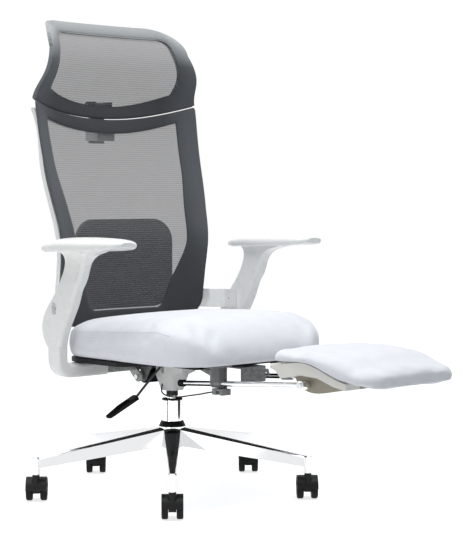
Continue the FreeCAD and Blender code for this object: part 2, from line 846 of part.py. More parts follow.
def rod_caps():
    """Thin stop caps on the rear ends of the rods."""
    caps = []
    for side in (-1, 1):
        start = V(side * slide_x, slide_rear_y, slide_rear_z)
        cap = cylinder(cap_radius, cap_length, start - slide_direction() * cap_floor, slide_direction())
        bore = cylinder(cap_radius - cap_wall, cap_length, start + slide_direction() * cap_floor, slide_direction())
        rod = cylinder(slide_radius, cap_length, start, slide_direction())
        caps.append(cap.cut(rod).cut(bore))
    save("rod_caps", *caps)


def guide_brackets():
    """Rod guides that bear up against the cushion in front of the pan, each with a tail under the pan."""
    brackets = []
    for side in (-1, 1):
        x = side * slide_x
        low_y = guide_y - guide_depth / 2
        high_y = guide_y + guide_depth / 2
        z = slide_z(guide_y)
        flange = box(x - guide_flange / 2, x + guide_flange / 2, low_y, high_y, pan_top - guide_flange_height,
                     pan_top)
        tail = polygon_prism([
            V(x - guide_web / 2, high_y - 1, pan_bottom), V(x - guide_web / 2, high_y + guide_tail, pan_bottom),
            V(x - guide_web / 2, high_y - 1, pan_bottom - guide_tail_height)], V(guide_web, 0, 0))
        web = box(x - guide_web / 2, x + guide_web / 2, low_y + 3, high_y, z, pan_top)
        start = V(x, high_y - 2, slide_z(high_y - 2))
        boss = cylinder(guide_radius, guide_depth - 4, start, slide_direction())
        bracket = fuse([flange, tail, web, boss])
        bore = cylinder(slide_radius + running_gap, guide_depth + 20, V(x, high_y + 8, slide_z(high_y + 8)),
                        slide_direction())
        brackets.append(bracket.cut(bore))
    save("guide_brackets", *brackets)


def middle_plate():
    """Folded plate between the guides, bolted up under the pan, with a hook at its left end."""
    half = middle_plate_width / 2
    low = middle_plate_low
    y = guide_y - middle_plate_thickness / 2
    upright = box(-half, half, y, y + middle_plate_thickness, low, pan_bottom)
    flange = box(-half, half, y, y + middle_plate_depth, pan_bottom - middle_plate_thickness, pan_bottom)
    hook = polygon_prism([
        V(half, y, pan_bottom - 8), V(half + 9, y, pan_bottom - 8), V(half + 13, y, pan_bottom - 20),
        V(half + 8, y, pan_bottom - 26), V(half + 6, y, pan_bottom - 17), V(half, y, pan_bottom - 15)],
        V(0, middle_plate_thickness, 0))
    save("middle_plate", fuse([upright, flange, hook]))


def latch():
    """Latch block under the right guide, with a jaw gap at the front and the socket of the cable."""
    top = slide_z(guide_y) - guide_radius - latch_drop
    rear = latch_rear
    x = -slide_x
    body = box(x - latch_width / 2, x + latch_width / 2, rear - latch_depth, rear, top - latch_height, top)
    gap = box(x - latch_width / 2 - 1, x + latch_width / 2 + 1, rear - latch_depth + jaw_gap,
              rear - latch_depth + 2 * jaw_gap, top - latch_height - 1, top - jaw_roof)
    hanger = box(x + guide_radius + 1.5, x + guide_radius + 6, rear - latch_depth + 14, rear, top - jaw_roof,
                 pan_top - guide_flange_height)
    save("slide_latch", fuse([body.cut(gap), hanger]).cut(wire_solid(cable_route, cable_radius)[0]))


def latch_cable():
    solid, length, radii = wire_solid(cable_route, cable_radius)
    print("cable radii", [round(radius, 1) for radius in radii])
    expected = pi * cable_radius ** 2 * length
    print("cable volume", round(solid.Volume, 1), "section times length", round(expected, 1))
    save("latch_cable", solid)


# Footrest

def footrest_hinge_bar():
    hinge = footrest_hinge()
    save("footrest_hinge_bar", across(hinge_bar_radius, slide_x + 12, hinge.y, hinge.z))


def footrest_points(x, outline):
    """Points of a side view that is given from the footrest's hinge."""
    hinge = footrest_hinge()
    return [V(x, hinge.y - forward, hinge.z + rise) for forward, rise in outline]


def footrest_shell():
    """S-shaped tray under the pad, open at both sides, with a hinge block in the middle."""
    hinge = footrest_hinge()
    x = -shell_half_width
    seam = footrest_points(x, shell_seam)
    underside = footrest_points(x, shell_underside)
    nose = footrest_points(x, [shell_nose])[0]
    outline = Part.Wire([
        spline(seam), line(seam[-1], underside[0]), spline(underside), arc(underside[-1], nose, seam[0])])
    body = Part.Face(outline).extrude(V(2 * shell_half_width, 0, 0))
    body = body.common(shell_plan_block())
    depth = shell_half_width - hinge_block_width / 2
    for start in (-shell_half_width - 1, hinge_block_width / 2):
        body = body.cut(polygon_prism(footrest_points(start, shell_pocket), V(depth + 1, 0, 0)))
    body = body.cut(footrest_pad_solid())
    body = body.cut(across(hinge_bar_radius + running_gap, 2 * shell_half_width, hinge.y, hinge.z))
    save("footrest_shell", body)


def shell_plan_block():
    """Everything under the shell's plan, whose corners are rounded."""
    hinge = footrest_hinge()
    front = hinge.y - pad_sections[-1][0]
    rear = hinge.y - shell_nose[0]
    outline = level_outline(-shell_half_width, shell_half_width, front, rear + 1, shell_front_corner,
                            shell_rear_corner, hinge.z - 100)
    return Part.Face(outline).extrude(V(0, 0, 200))


def footrest_pad_solid():
    """Crowned pad: upright sections across the footrest, from its rear edge to its front edge."""
    hinge = footrest_hinge()
    half = shell_half_width + pad_overhang
    wires = []
    for forward, inset, low, edge, crown in pad_sections:
        wires.append(soft_section(0, hinge.y - forward, half - inset, hinge.z + low, hinge.z + edge,
                                  hinge.z + crown))
    return Part.makeLoft(wires, True, False)


def footrest_pad():
    save("footrest_pad", footrest_pad_solid())


# Back and headrest

def bowed_slab(stations, front, rear, base=0.0):
    """Bowed sheet: level sections that are flat in the middle and curl forwards at both sides."""
    wires = []
    for z, edge_y, bow in stations:
        near = []
        far = []
        for step in range(bow_steps + 1):
            share = 2 * step / bow_steps - 1
            depth = edge_y + bow * (1 - abs(share) ** bow_power)
            near.append(V(share * bow_width, depth + front, base + z))
            far.append(V(share * bow_width, depth + rear, base + z))
        wires.append(Part.Wire([
            spline(near), line(near[-1], far[-1]), spline(far[::-1]), line(far[0], near[0])]))
    return Part.makeLoft(wires, True, False)


def back_face(sides, inset, top_inset, low_inset, low_radius):
    """Front view of the back within the given sides, drawn in by inset and rounded at the bottom."""
    bottom = back_bottom + low_inset
    half_width = back_half_width - inset
    right = [V(half_width - side, 0, z) for z, side in sides]
    start = V(right[0].x - 2, 0, bottom + low_radius)
    side = [start] + right[1:] + [V(right[-1].x, 0, back_top_corner - top_inset)]
    other = [swapped(point) for point in side]
    turn = radians(45)
    centre_x = start.x - low_radius
    elbow = V(centre_x + low_radius * cos(turn), 0, start.z - low_radius * sin(turn))
    foot = V(centre_x, 0, bottom)
    return Part.Wire([
        arc(foot, elbow, start), spline(side), arc(side[-1], V(0, 0, back_top_middle - top_inset), other[-1]),
        spline(other[::-1]), arc(swapped(start), swapped(elbow), swapped(foot)), line(swapped(foot), foot)])


def pushed(wire):
    face = Part.Face(wire)
    return face.extrude(V(0, 600, 0))


def border_face():
    return back_face(back_outline, 0, 0, 0, back_bottom_radius)


def window_wire():
    """Opening of the mesh: narrow at the bottom, where the border fills both lower corners."""
    side = [V(back_half_width - inset, 0, z) for z, inset in back_window]
    side.append(V(back_half_width - window_top_inset, 0, back_top_corner - border_width))
    other = [swapped(point) for point in side]
    return Part.Wire([
        line(other[0], side[0]), spline(side),
        arc(side[-1], V(0, 0, back_top_middle - border_middle_width), other[-1]), spline(other[::-1])])


def back_border():
    ring = pushed(border_face()).cut(pushed(window_wire()))
    save("back_border", bowed_slab(back_stations, border_front, border_rear).common(ring))


def back_mesh():
    save("back_mesh", bowed_slab(back_stations, mesh_front, mesh_rear).common(pushed(window_wire())))


def lumbar_bar():
    """Flat strap behind the lumbar pad, bent forwards at both ends to reach the frame."""
    front = lumbar_front_middle + lumbar_thickness + body_gap
    rear = front + lumbar_bar_thickness
    low = lumbar_bar_low
    right = [
        V(strap_inner, front, low), V(strap_outer - strap_ramp, strap_end_front + body_gap, low),
        V(strap_outer, strap_end_front, low), V(strap_outer, strap_end_rear, low), V(strap_inner + 6, rear, low)]
    points = right + [swapped(point) for point in right[::-1]]
    strap = polygon_prism(points, V(0, 0, lumbar_bar_high - low))
    middle = (lumbar_bar_low + lumbar_bar_high) / 2
    slot = lumbar_travel + lumbar_stud_half + lumbar_stud_gap
    side = lumbar_stud_half + lumbar_stud_gap
    reach = slot + lumbar_guide_rim
    plate = box(-lumbar_guide_half, lumbar_guide_half, front, rear, middle - reach, middle + reach)
    return fuse([strap, plate]).cut(box(-side, side, front - 1, rear + 1, middle - slot, middle + slot))


def arm_lug():
    """Ear at the frame's side that runs forwards along the inner face of the left arm."""
    face_x = arm_x - arm_half_thickness
    inner_x = face_x - ear_thickness
    frame_x = back_half_width - frame_outline[0][1] - 7
    points = [
        V(face_x, lug_front, lug_low), V(face_x, 100, lug_low), V(frame_x, 160, lug_low),
        V(frame_x - 19, 160, lug_low), V(frame_x - 19, 140, lug_low), V(inner_x, 88, lug_low),
        V(inner_x, lug_front, lug_low)]
    ear = polygon_prism(points, V(0, 0, lug_high - lug_low))
    return ear.cut(cylinder(screw_radius, 60, V(inner_x - 20, slot_y, slot_z), AXIS_X))


def post_sleeve():
    half = post_width / 2 + sleeve_wall
    front = post_y - post_thickness / 2 - sleeve_wall - sleeve_reach
    rear = post_y + post_thickness / 2 + sleeve_wall
    return box(-half, half, front, rear, sleeve_low, sleeve_high)


def back_frame():
    """White frame behind the border, with the lumbar strap, both arm ears and the headrest sleeve."""
    outline = pushed(back_face(frame_outline, 0, frame_top_inset, 0, back_bottom_radius))
    window = pushed(back_face(back_outline, frame_width, frame_width, frame_low_width, frame_low_radius))
    ring = bowed_slab(back_stations, border_rear, frame_rear).common(outline.cut(window))
    guard = bowed_slab(back_stations, border_rear, 400)
    sleeve = post_sleeve().common(guard)
    strap = lumbar_bar().common(guard)
    beside = pushed(back_face(back_outline, -body_gap, 0, 0, back_bottom_radius))
    ear = arm_lug().cut(bowed_slab(back_stations, -100, border_rear).common(beside))
    frame = fuse([ring, sleeve, ear, mirrored(ear), strap])
    half = post_width / 2 + post_gap
    passage = box(-half, half, post_y - post_thickness / 2 - post_gap, post_y + post_thickness / 2 + post_gap,
                  sleeve_low - 1, sleeve_high + 40)
    save("back_frame", frame.cut(passage))


def lumbar_pad():
    """Stiff pad behind the mesh, bowed like the back and rounded at its corners."""
    half = lumbar_half_width
    front = lumbar_front_middle
    rear = front + lumbar_thickness
    sag = lumbar_sag
    low = lumbar_low
    face = Part.Face(Part.Wire([
        arc(V(-half, front - sag, low), V(0, front, low), V(half, front - sag, low)),
        line(V(half, front - sag, low), V(half, rear - sag, low)),
        arc(V(half, rear - sag, low), V(0, rear, low), V(-half, rear - sag, low)),
        line(V(-half, rear - sag, low), V(-half, front - sag, low))]))
    slab = face.extrude(V(0, 0, lumbar_high - low))
    outline = upright_outline(half - 0.5, lumbar_low, lumbar_high, lumbar_radius, lumbar_radius)
    middle = (lumbar_bar_low + lumbar_bar_high) / 2
    size = lumbar_stud_half
    back_of_bar = rear + body_gap + lumbar_bar_thickness + body_gap
    stud = box(-size, size, rear - 2, back_of_bar + 1, middle - size, middle + size)
    head = box(-1.8 * size, 1.8 * size, back_of_bar, back_of_bar + 4, middle - size, middle + size)
    save("lumbar_pad", fuse([slab.common(pushed(outline)), stud, head]))


def upright_outline(half, low, high, low_radius, high_radius):
    level = level_outline(-half, half, low, high, low_radius, high_radius, 0)
    level.rotate(V(0, 0, 0), AXIS_X, 90)
    return level


def head_face(sides, shoulder, corner, low_inset, top_inset):
    """Front view of the headrest or its window: the lower edge follows the curve of the back's top edge."""
    low_middle = back_top_middle + head_gap + low_inset
    top = head_base + head_height - top_inset
    side = [V(back_half_width - inset, 0, head_base + rise) for rise, inset in sides]
    side.append(V(back_half_width - shoulder, 0, top - corner))
    turn = radians(45)
    centre = V(side[-1].x - corner, 0, top - corner)
    elbow = V(centre.x + corner * sin(turn), 0, centre.z + corner * cos(turn))
    peak = V(centre.x, 0, top)
    other = [swapped(point) for point in side]
    return Part.Wire([
        arc(other[0], V(0, 0, low_middle), side[0]), spline(side), arc(side[-1], elbow, peak),
        line(peak, swapped(peak)), arc(swapped(peak), swapped(elbow), other[-1]),
        spline(other[::-1])])


def head_window():
    return pushed(head_face(head_window_sides, head_window_shoulder, head_window_corner, head_border_low,
                            head_border_top))


def head_slab(front, rear):
    return bowed_slab(head_stations, front, rear, head_base)


def head_lugs():
    """Two ears behind the lower border that carry the hinge pin."""
    ears = []
    for side in (-1, 1):
        x = side * (post_width / 2 + lug_side_gap + lug_thickness / 2) - lug_thickness / 2
        eye = cylinder(lug_eye_radius, lug_thickness, V(x, post_y, head_hinge_z), AXIS_X)
        arm = box(x, x + lug_thickness, post_y - lug_reach, post_y, head_hinge_z - lug_eye_radius + 1,
                  head_hinge_z + lug_eye_radius - 1)
        ears.append(eye.fuse(arm))
    return ears


def headrest_border():
    ring = pushed(head_face(head_outline, head_shoulder, head_corner, 0, 0)).cut(head_window())
    border = head_slab(0, head_border_thickness).common(ring)
    guard = head_slab(head_border_thickness / 2, 200)
    ears = [ear.common(guard) for ear in head_lugs()]
    frame = fuse([border] + ears)
    save("headrest_border", frame.cut(across(head_hinge_radius, 60, post_y, head_hinge_z)))


def headrest_mesh():
    save("headrest_mesh", head_slab(head_mesh_front, head_mesh_rear).common(head_window()))


def headrest_post():
    half = post_width / 2
    plate = box(-half, half, post_y - post_thickness / 2, post_y + post_thickness / 2, post_low, head_hinge_z)
    eye = across(post_eye_radius, half, post_y, head_hinge_z)
    post = fuse([plate, eye])
    save("headrest_post", post.cut(across(head_hinge_radius + running_gap, 60, post_y, head_hinge_z)))
    save("headrest_pin", across(head_hinge_radius, half + lug_side_gap + lug_thickness, post_y, head_hinge_z))


# Arms

def arm_post():
    """Left arm: it stands on the lower cover, bulges back to the ear and leans forwards to the pad."""
    wires = []
    for z, front, rear, half in arm_sections:
        middle = arm_x + (half - arm_half_thickness) * 0.5
        corner = min(half, (rear - front) / 2) * 0.72
        wires.append(level_outline(middle - half, middle + half, front, rear, corner, corner, z))
    post = Part.makeLoft(wires, True, False)
    inside = box(0, arm_x - arm_half_thickness, -400, 400, 0, 2 * slot_z)
    bore = cylinder(screw_radius, 80, V(arm_x - 40, slot_y, slot_z), AXIS_X)
    return post.cut(inside).cut(arm_pad()).cut(upright_slot()).cut(bore)


def upright_slot():
    outer = arm_x + arm_half_thickness
    half = slot_width / 2
    outline = level_outline(-half, half, -slot_height / 2, slot_height / 2, half - 1, half - 1, 0)
    face = Part.Face(outline)
    face.rotate(V(0, 0, 0), AXIS_Y, 90)
    face.rotate(V(0, 0, 0), AXIS_X, 90)
    face.translate(V(outer - slot_depth, slot_y, slot_z))
    return face.extrude(V(slot_depth + 20, 0, 0))


def arm_cover():
    """Left lower cover: it drops from the arm, turns inwards under the seat and hides the channel."""
    middle_z = (bar_low + bar_high) / 2
    top = arm_sections[0][0]
    half_y = cover_width / 2
    half_x = arm_half_thickness
    section = level_outline(arm_x - half_x, arm_x + half_x, cover_y - half_y, cover_y + half_y,
                            cover_corner, cover_corner, top)
    turn = radians(45)
    bend = V(arm_x - cover_bend, cover_y, middle_z + cover_bend)
    elbow = V(bend.x + cover_bend * cos(turn), cover_y, bend.z - cover_bend * sin(turn))
    path = Part.Wire([
        line(V(arm_x, cover_y, top), V(arm_x, cover_y, bend.z)),
        arc(V(arm_x, cover_y, bend.z), elbow, V(bend.x, cover_y, middle_z)),
        line(V(bend.x, cover_y, middle_z), V(cover_end, cover_y, middle_z))])
    solid = path.makePipeShell([section], True, False)
    return solid.cut(box(0, bar_half_length, bar_front, bar_rear, bar_low, bar_high))


def arm_pad():
    """Left arm pad, lofted from upright sections between its tapered ends."""
    wires = []
    for y, inset, low, edge, crown in arm_pad_sections:
        wires.append(soft_section(arm_pad_x, y, arm_pad_half_width - inset, low, edge, crown))
    return Part.makeLoft(wires, True, False)


def arms():
    post = arm_post()
    pad = arm_pad()
    cover = arm_cover()
    for name, shape in (("arm_post", post), ("arm_pad", pad), ("arm_cover", cover)):
        save(name + "_left", shape)
        save(name + "_right", mirrored(shape))
    outer = arm_x + arm_half_thickness - slot_depth
    head = cylinder(screw_head_radius, screw_head_height, V(outer, slot_y, slot_z), AXIS_X)
    shank = cylinder(screw_radius, outer - arm_x + arm_half_thickness + 10,
                     V(arm_x - arm_half_thickness - 10, slot_y, slot_z), AXIS_X)
    screw = fuse([head, shank])
    save("arm_screws", screw, mirrored(screw))


def build():
    os.makedirs("parts", exist_ok=True)
    base_star()
    castor_stems()
    castors()
    outer_tube()
    guide_bush()
    column_collar()
    thrust_bearing()
    piston_rod()
    inner_tube()
    release_pin()
    column_block()
    seat_plate()
    seat_screws()
    recline_hinge()
    back_yoke()
    lever()
    lever_grip()
    seat_pan()
    seat_cushion()
    slide_rods()
    rod_caps()
    guide_brackets()
    middle_plate()
    latch()
    latch_cable()
    footrest_hinge_bar()
    footrest_shell()
    footrest_pad()
    back_border()
    back_mesh()
    back_frame()
    lumbar_pad()
    headrest_border()
    headrest_mesh()
    headrest_post()
    arms()


build()
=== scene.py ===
import json
from math import asin, cos, hypot, pi, radians, sin

import bmesh
import bpy
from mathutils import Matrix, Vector
from mathutils.bvhtree import BVHTree


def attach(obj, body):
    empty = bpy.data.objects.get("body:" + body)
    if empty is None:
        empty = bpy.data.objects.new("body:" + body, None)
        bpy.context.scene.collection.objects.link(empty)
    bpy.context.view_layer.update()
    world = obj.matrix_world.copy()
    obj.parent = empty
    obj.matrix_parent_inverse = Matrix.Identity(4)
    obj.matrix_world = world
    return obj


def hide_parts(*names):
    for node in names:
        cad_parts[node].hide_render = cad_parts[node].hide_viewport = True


# reclining office chair with footrest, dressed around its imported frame
# metres, +Z up, the sitter faces -Y and has the right hand at -X

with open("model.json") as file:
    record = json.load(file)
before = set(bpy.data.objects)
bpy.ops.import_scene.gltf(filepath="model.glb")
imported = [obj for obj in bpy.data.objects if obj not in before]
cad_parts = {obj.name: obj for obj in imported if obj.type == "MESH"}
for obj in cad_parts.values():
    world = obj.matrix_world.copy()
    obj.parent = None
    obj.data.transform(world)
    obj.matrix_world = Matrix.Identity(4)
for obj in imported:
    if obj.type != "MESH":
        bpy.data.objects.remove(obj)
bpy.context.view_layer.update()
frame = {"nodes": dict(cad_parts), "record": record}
cadNodes = frame["nodes"]
scene = bpy.context.scene


# camera, lamps and floor

cameraLook = {
    "place": (-2.526, -2.906, 0.72),
    "azimuth": -41.0,        # degrees, the direction it looks from
    "turnRight": 2.12,       # degrees, swung off the column to frame the footrest
    "tiltDown": 2.70,
    "focalPixels": 1608.0,   # at a picture 539 pixels tall
    "pictureTall": 539.0,
    "sensor": 36.0,
}

stageLook = {
    "floorColor": (0.72, 0.725, 0.73),
    "floorGlow": 0.73,       # what the camera sees on top of the lit floor
    "floorHalf": 14.0,
    "worldColor": (0.90, 0.95, 1.0),
    "worldLight": 0.36,
}

warmWhite = (1.0, 0.99, 0.97)
lampLook = [
    {"name": "topLamp", "place": (-0.25, -0.15, 2.9), "target": (0, -0.1, 0.5), "power": 72.0, "size": 2.6,
     "color": (1, 1, 1)},
    {"name": "sideLamp", "place": (-3.0, -0.9, 1.1), "target": (0, -0.1, 0.4), "power": 4.5, "size": 1.8,
     "color": warmWhite},
    {"name": "lowLamp", "place": (-1.1, -0.25, 0.12), "target": (0, -0.03, 0.31), "power": 1.5, "size": 0.5,
     "color": warmWhite},
]


def placeCamera(look):
    data = bpy.data.cameras.new("camera")
    data.sensor_width = look["sensor"]
    data.lens = look["focalPixels"] / look["pictureTall"] * look["sensor"]
    data.clip_start = 0.05
    data.clip_end = 60
    camera = bpy.data.objects.new("camera", data)
    scene.collection.objects.link(camera)
    camera.location = look["place"]
    heading = radians(look["azimuth"] - look["turnRight"])
    camera.rotation_euler = (radians(90 - look["tiltDown"]), 0, heading)
    scene.camera = camera


def addLamp(look):
    data = bpy.data.lights.new(look["name"], "AREA")
    data.energy = look["power"]
    data.shape = "DISK"
    data.size = look["size"]
    data.color = look["color"]
    lamp = bpy.data.objects.new(look["name"], data)
    scene.collection.objects.link(lamp)
    lamp.location = look["place"]
    aim = Vector(look["target"]) - Vector(look["place"])
    lamp.rotation_euler = aim.to_track_quat("-Z", "Y").to_euler()


def paintWorld(look):
    world = bpy.data.worlds.new("studio")
    scene.world = world
    world.use_nodes = True
    tree = world.node_tree
    tree.nodes.clear()
    path = tree.nodes.new("ShaderNodeLightPath")
    seen = tree.nodes.new("ShaderNodeMath")
    seen.operation = "MAXIMUM"
    seenThrough = tree.nodes.new("ShaderNodeMath")
    seenThrough.operation = "MAXIMUM"
    soft = tree.nodes.new("ShaderNodeBackground")
    soft.inputs["Color"].default_value = (*look["worldColor"], 1)
    soft.inputs["Strength"].default_value = look["worldLight"]
    white = tree.nodes.new("ShaderNodeBackground")
    white.inputs["Color"].default_value = (1, 1, 1, 1)
    white.inputs["Strength"].default_value = 1.0
    mix = tree.nodes.new("ShaderNodeMixShader")
    output = tree.nodes.new("ShaderNodeOutputWorld")
    tree.links.new(path.outputs["Is Camera Ray"], seen.inputs[0])
    tree.links.new(path.outputs["Is Glossy Ray"], seen.inputs[1])
    tree.links.new(seen.outputs[0], seenThrough.inputs[0])
    tree.links.new(path.outputs["Is Transmission Ray"], seenThrough.inputs[1])
    tree.links.new(seenThrough.outputs[0], mix.inputs[0])
    tree.links.new(soft.outputs[0], mix.inputs[1])
    tree.links.new(white.outputs[0], mix.inputs[2])
    tree.links.new(mix.outputs[0], output.inputs[0])


def layFloor(look):
    half = look["floorHalf"]
    mesh = bpy.data.meshes.new("floor")
    corners = [(-half, -half, 0), (half, -half, 0), (half, half, 0), (-half, half, 0)]
    mesh.from_pydata(corners, [], [(0, 1, 2, 3)])
    floor = bpy.data.objects.new("floor", mesh)
    scene.collection.objects.link(floor)
    material = bpy.data.materials.new("floorPaper")
    material.use_nodes = True
    tree = material.node_tree
    shader = tree.nodes["Principled BSDF"]
    shader.inputs["Base Color"].default_value = (*look["floorColor"], 1)
    shader.inputs["Roughness"].default_value = 0.9
    glow = tree.nodes.new("ShaderNodeEmission")
    glow.inputs["Strength"].default_value = look["floorGlow"]
    path = tree.nodes.new("ShaderNodeLightPath")
    seen = tree.nodes.new("ShaderNodeMath")
    seen.operation = "MAXIMUM"
    blank = tree.nodes.new("ShaderNodeEmission")
    blank.inputs["Strength"].default_value = 0.0
    choose = tree.nodes.new("ShaderNodeMixShader")
    add = tree.nodes.new("ShaderNodeAddShader")
    tree.links.new(path.outputs["Is Camera Ray"], seen.inputs[0])
    tree.links.new(path.outputs["Is Glossy Ray"], seen.inputs[1])
    tree.links.new(seen.outputs[0], choose.inputs[0])
    tree.links.new(blank.outputs[0], choose.inputs[1])
    tree.links.new(glow.outputs[0], choose.inputs[2])
    tree.links.new(shader.outputs[0], add.inputs[0])
    tree.links.new(choose.outputs[0], add.inputs[1])
    tree.links.new(add.outputs[0], tree.nodes["Material Output"].inputs[0])
    mesh.materials.append(material)


# painted reflections: dark cards beside the camera's view, seen only in the chrome
cardLook = [
    {"turn": -51.0, "distance": 1.25, "wide": 0.42, "tall": 0.24, "shade": 0.02},
    {"turn": 82.0, "distance": 1.30, "wide": 0.85, "tall": 0.24, "shade": 0.03},
    {"turn": 152.0, "distance": 1.35, "wide": 0.30, "tall": 0.24, "shade": 0.05},
]
# painted shade: a dark sheet under the seat, seen only in the chrome, that paints the shade under the seat
# into the legs' reflections
underCardLook = {"half": 0.20, "z": 0.236, "front": -0.23, "rear": 0.17, "shade": 0.03}


# the cards are hidden from the camera, from diffuse light and from shadows, so they only paint dark
# reflections
def hideCard(card, shade):
    scene.collection.objects.link(card)
    material = bpy.data.materials.new(card.name)
    material.use_nodes = True
    shader = material.node_tree.nodes["Principled BSDF"]
    shader.inputs["Base Color"].default_value = (shade, shade, shade, 1)
    shader.inputs["Roughness"].default_value = 1.0
    card.data.materials.append(material)
    card.visible_camera = False
    card.visible_diffuse = False
    card.visible_shadow = False
    card.visible_transmission = False


def standCard(number, look):
    heading = radians(cameraLook["azimuth"] - 90 + look["turn"])
    away = Vector((cos(heading), sin(heading), 0))
    along = Vector((-away.y, away.x, 0)) * look["wide"] / 2
    foot = away * look["distance"]
    rise = Vector((0, 0, look["tall"]))
    mesh = bpy.data.meshes.new("card%d" % number)
    corners = [foot - along, foot + along, foot + along + rise, foot - along + rise]
    mesh.from_pydata(corners, [], [(0, 1, 2, 3)])
    hideCard(bpy.data.objects.new("card%d" % number, mesh), look["shade"])


def hangCard(look):
    mesh = bpy.data.meshes.new("underCard")
    half, front, rear, z = look["half"], look["front"], look["rear"], look["z"]
    corners = [(-half, front, z), (half, front, z), (half, rear, z), (-half, rear, z)]
    mesh.from_pydata(corners, [], [(0, 1, 2, 3)])
    hideCard(bpy.data.objects.new("underCard", mesh), look["shade"])


placeCamera(cameraLook)
paintWorld(stageLook)
layFloor(stageLook)
for cardNumber, cardFacts in enumerate(cardLook, 1):
    standCard(cardNumber, cardFacts)
hangCard(underCardLook)
for lampFacts in lampLook:
    addLamp(lampFacts)
scene.view_settings.view_transform = "Standard"
print("studio: camera, floor and lamps placed")


# finishes

def joinNodes(tree, *pairs):
    for source, target in pairs:
        tree.links.new(source, target)


def makeFinish(name, color, roughness, metallic=0.0, sheen=0.0, coat=0.0):
    material = bpy.data.materials.new(name)
    material.use_nodes = True
    shader = material.node_tree.nodes["Principled BSDF"]
    shader.inputs["Base Color"].default_value = (*color, 1)
    shader.inputs["Roughness"].default_value = roughness
    shader.inputs["Metallic"].default_value = metallic
    shader.inputs["Sheen Weight"].default_value = sheen
    shader.inputs["Coat Weight"].default_value = coat
    return material


def objectPoint(tree, scale=(1, 1, 1), turn=(0, 0, 0)):
    where = tree.nodes.new("ShaderNodeTexCoord")
    mapping = tree.nodes.new("ShaderNodeMapping")
    mapping.inputs["Scale"].default_value = scale
    mapping.inputs["Rotation"].default_value = turn
    tree.links.new(where.outputs["Object"], mapping.inputs["Vector"])
    return mapping.outputs["Vector"]


def noiseOf(tree, point, scale, detail=3.0, rough=0.5):
    noise = tree.nodes.new("ShaderNodeTexNoise")
    noise.inputs["Scale"].default_value = scale
    noise.inputs["Detail"].default_value = detail
    noise.inputs["Roughness"].default_value = rough
    tree.links.new(point, noise.inputs["Vector"])
    return noise.outputs["Fac"]


def waveOf(tree, point, scale, direction, distortion=0.0):
    wave = tree.nodes.new("ShaderNodeTexWave")
    wave.wave_type = "BANDS"
    wave.bands_direction = direction
    wave.wave_profile = "SIN"
    wave.inputs["Scale"].default_value = scale
    wave.inputs["Distortion"].default_value = distortion
    tree.links.new(point, wave.inputs["Vector"])
    return wave.outputs["Fac"]


def rampOf(tree, value, stops):
    ramp = tree.nodes.new("ShaderNodeValToRGB")
    ramp.color_ramp.elements[0].position = stops[0][0]
    ramp.color_ramp.elements[0].color = (*stops[0][1], 1)
    ramp.color_ramp.elements[1].position = stops[-1][0]
    ramp.color_ramp.elements[1].color = (*stops[-1][1], 1)
    for place, color in stops[1:-1]:
        ramp.color_ramp.elements.new(place).color = (*color, 1)
    tree.links.new(value, ramp.inputs["Fac"])
    return ramp.outputs["Color"]


def spanOf(tree, value, low, high, fromLow=0.0, fromHigh=1.0):
    span = tree.nodes.new("ShaderNodeMapRange")
    span.inputs["From Min"].default_value = fromLow
    span.inputs["From Max"].default_value = fromHigh
    span.inputs["To Min"].default_value = low
    span.inputs["To Max"].default_value = high
    tree.links.new(value, span.inputs["Value"])
    return span.outputs["Result"]


def sumOf(tree, kind, first, second):
    math = tree.nodes.new("ShaderNodeMath")
    math.operation = kind
    for index, value in enumerate((first, second)):
        if isinstance(value, (int, float)):
            math.inputs[index].default_value = value
        else:
            tree.links.new(value, math.inputs[index])
    return math.outputs[0]


def bumpOn(tree, height, strength, distance, edge=0.0):
    shader = tree.nodes["Principled BSDF"]
    bump = tree.nodes.new("ShaderNodeBump")
    bump.inputs["Strength"].default_value = strength
    bump.inputs["Distance"].default_value = distance
    tree.links.new(height, bump.inputs["Height"])
    if edge > 0:
        bevel = tree.nodes.new("ShaderNodeBevel")
        bevel.samples = 4
        bevel.inputs["Radius"].default_value = edge
        tree.links.new(bevel.outputs["Normal"], bump.inputs["Normal"])
    tree.links.new(bump.outputs["Normal"], shader.inputs["Normal"])


def shadeOf(tree, color, spread, scale):
    low = [channel * (1 - spread) for channel in color]
    return rampOf(tree, noiseOf(tree, objectPoint(tree), scale, 4.0), [(0.3, low), (0.7, color)])


# how fine the clouds, smudges and threads of the finishes are: the higher, the finer
fineness = {
    "plasticCloud": 7.0,
    "plasticSmudge": 24.0,
    "chromeSmudge": 9.0,
    "chromeRipple": 60.0,
    "turnedLine": 260.0,
    "paintScuff": 130.0,
    "paintSmudge": 40.0,
    "paintGrain": 420.0,
    "clothSlub": 34.0,
    "clothWave": 14.0,
}


def mouldedPlastic(name, color, roughness, grain=0.00006, grainScale=900.0, edge=0.0008, gloss=0.5):
    material = makeFinish(name, color, roughness)
    tree = material.node_tree
    shader = tree.nodes["Principled BSDF"]
    shader.inputs["Specular IOR Level"].default_value = gloss
    point = objectPoint(tree)
    smudge = noiseOf(tree, point, fineness["plasticSmudge"], 5.0)
    joinNodes(
        tree,
        (shadeOf(tree, color, 0.03, fineness["plasticCloud"]), shader.inputs["Base Color"]),
        (spanOf(tree, smudge, roughness * 0.85, roughness * 1.2), shader.inputs["Roughness"]))
    bumpOn(tree, noiseOf(tree, point, grainScale, 2.0), 0.5, grain, edge)
    return material


def polishedChrome(name, color, roughness):
    material = makeFinish(name, color, roughness, metallic=1.0)
    tree = material.node_tree
    shader = tree.nodes["Principled BSDF"]
    smudge = noiseOf(tree, objectPoint(tree), fineness["chromeSmudge"], 6.0, 0.6)
    blur = spanOf(tree, smudge, roughness * 0.6, roughness * 1.9, 0.35, 0.75)
    joinNodes(tree, (blur, shader.inputs["Roughness"]))
    bumpOn(tree, noiseOf(tree, objectPoint(tree), fineness["chromeRipple"], 2.0), 0.15, 0.00003, 0.0012)
    return material


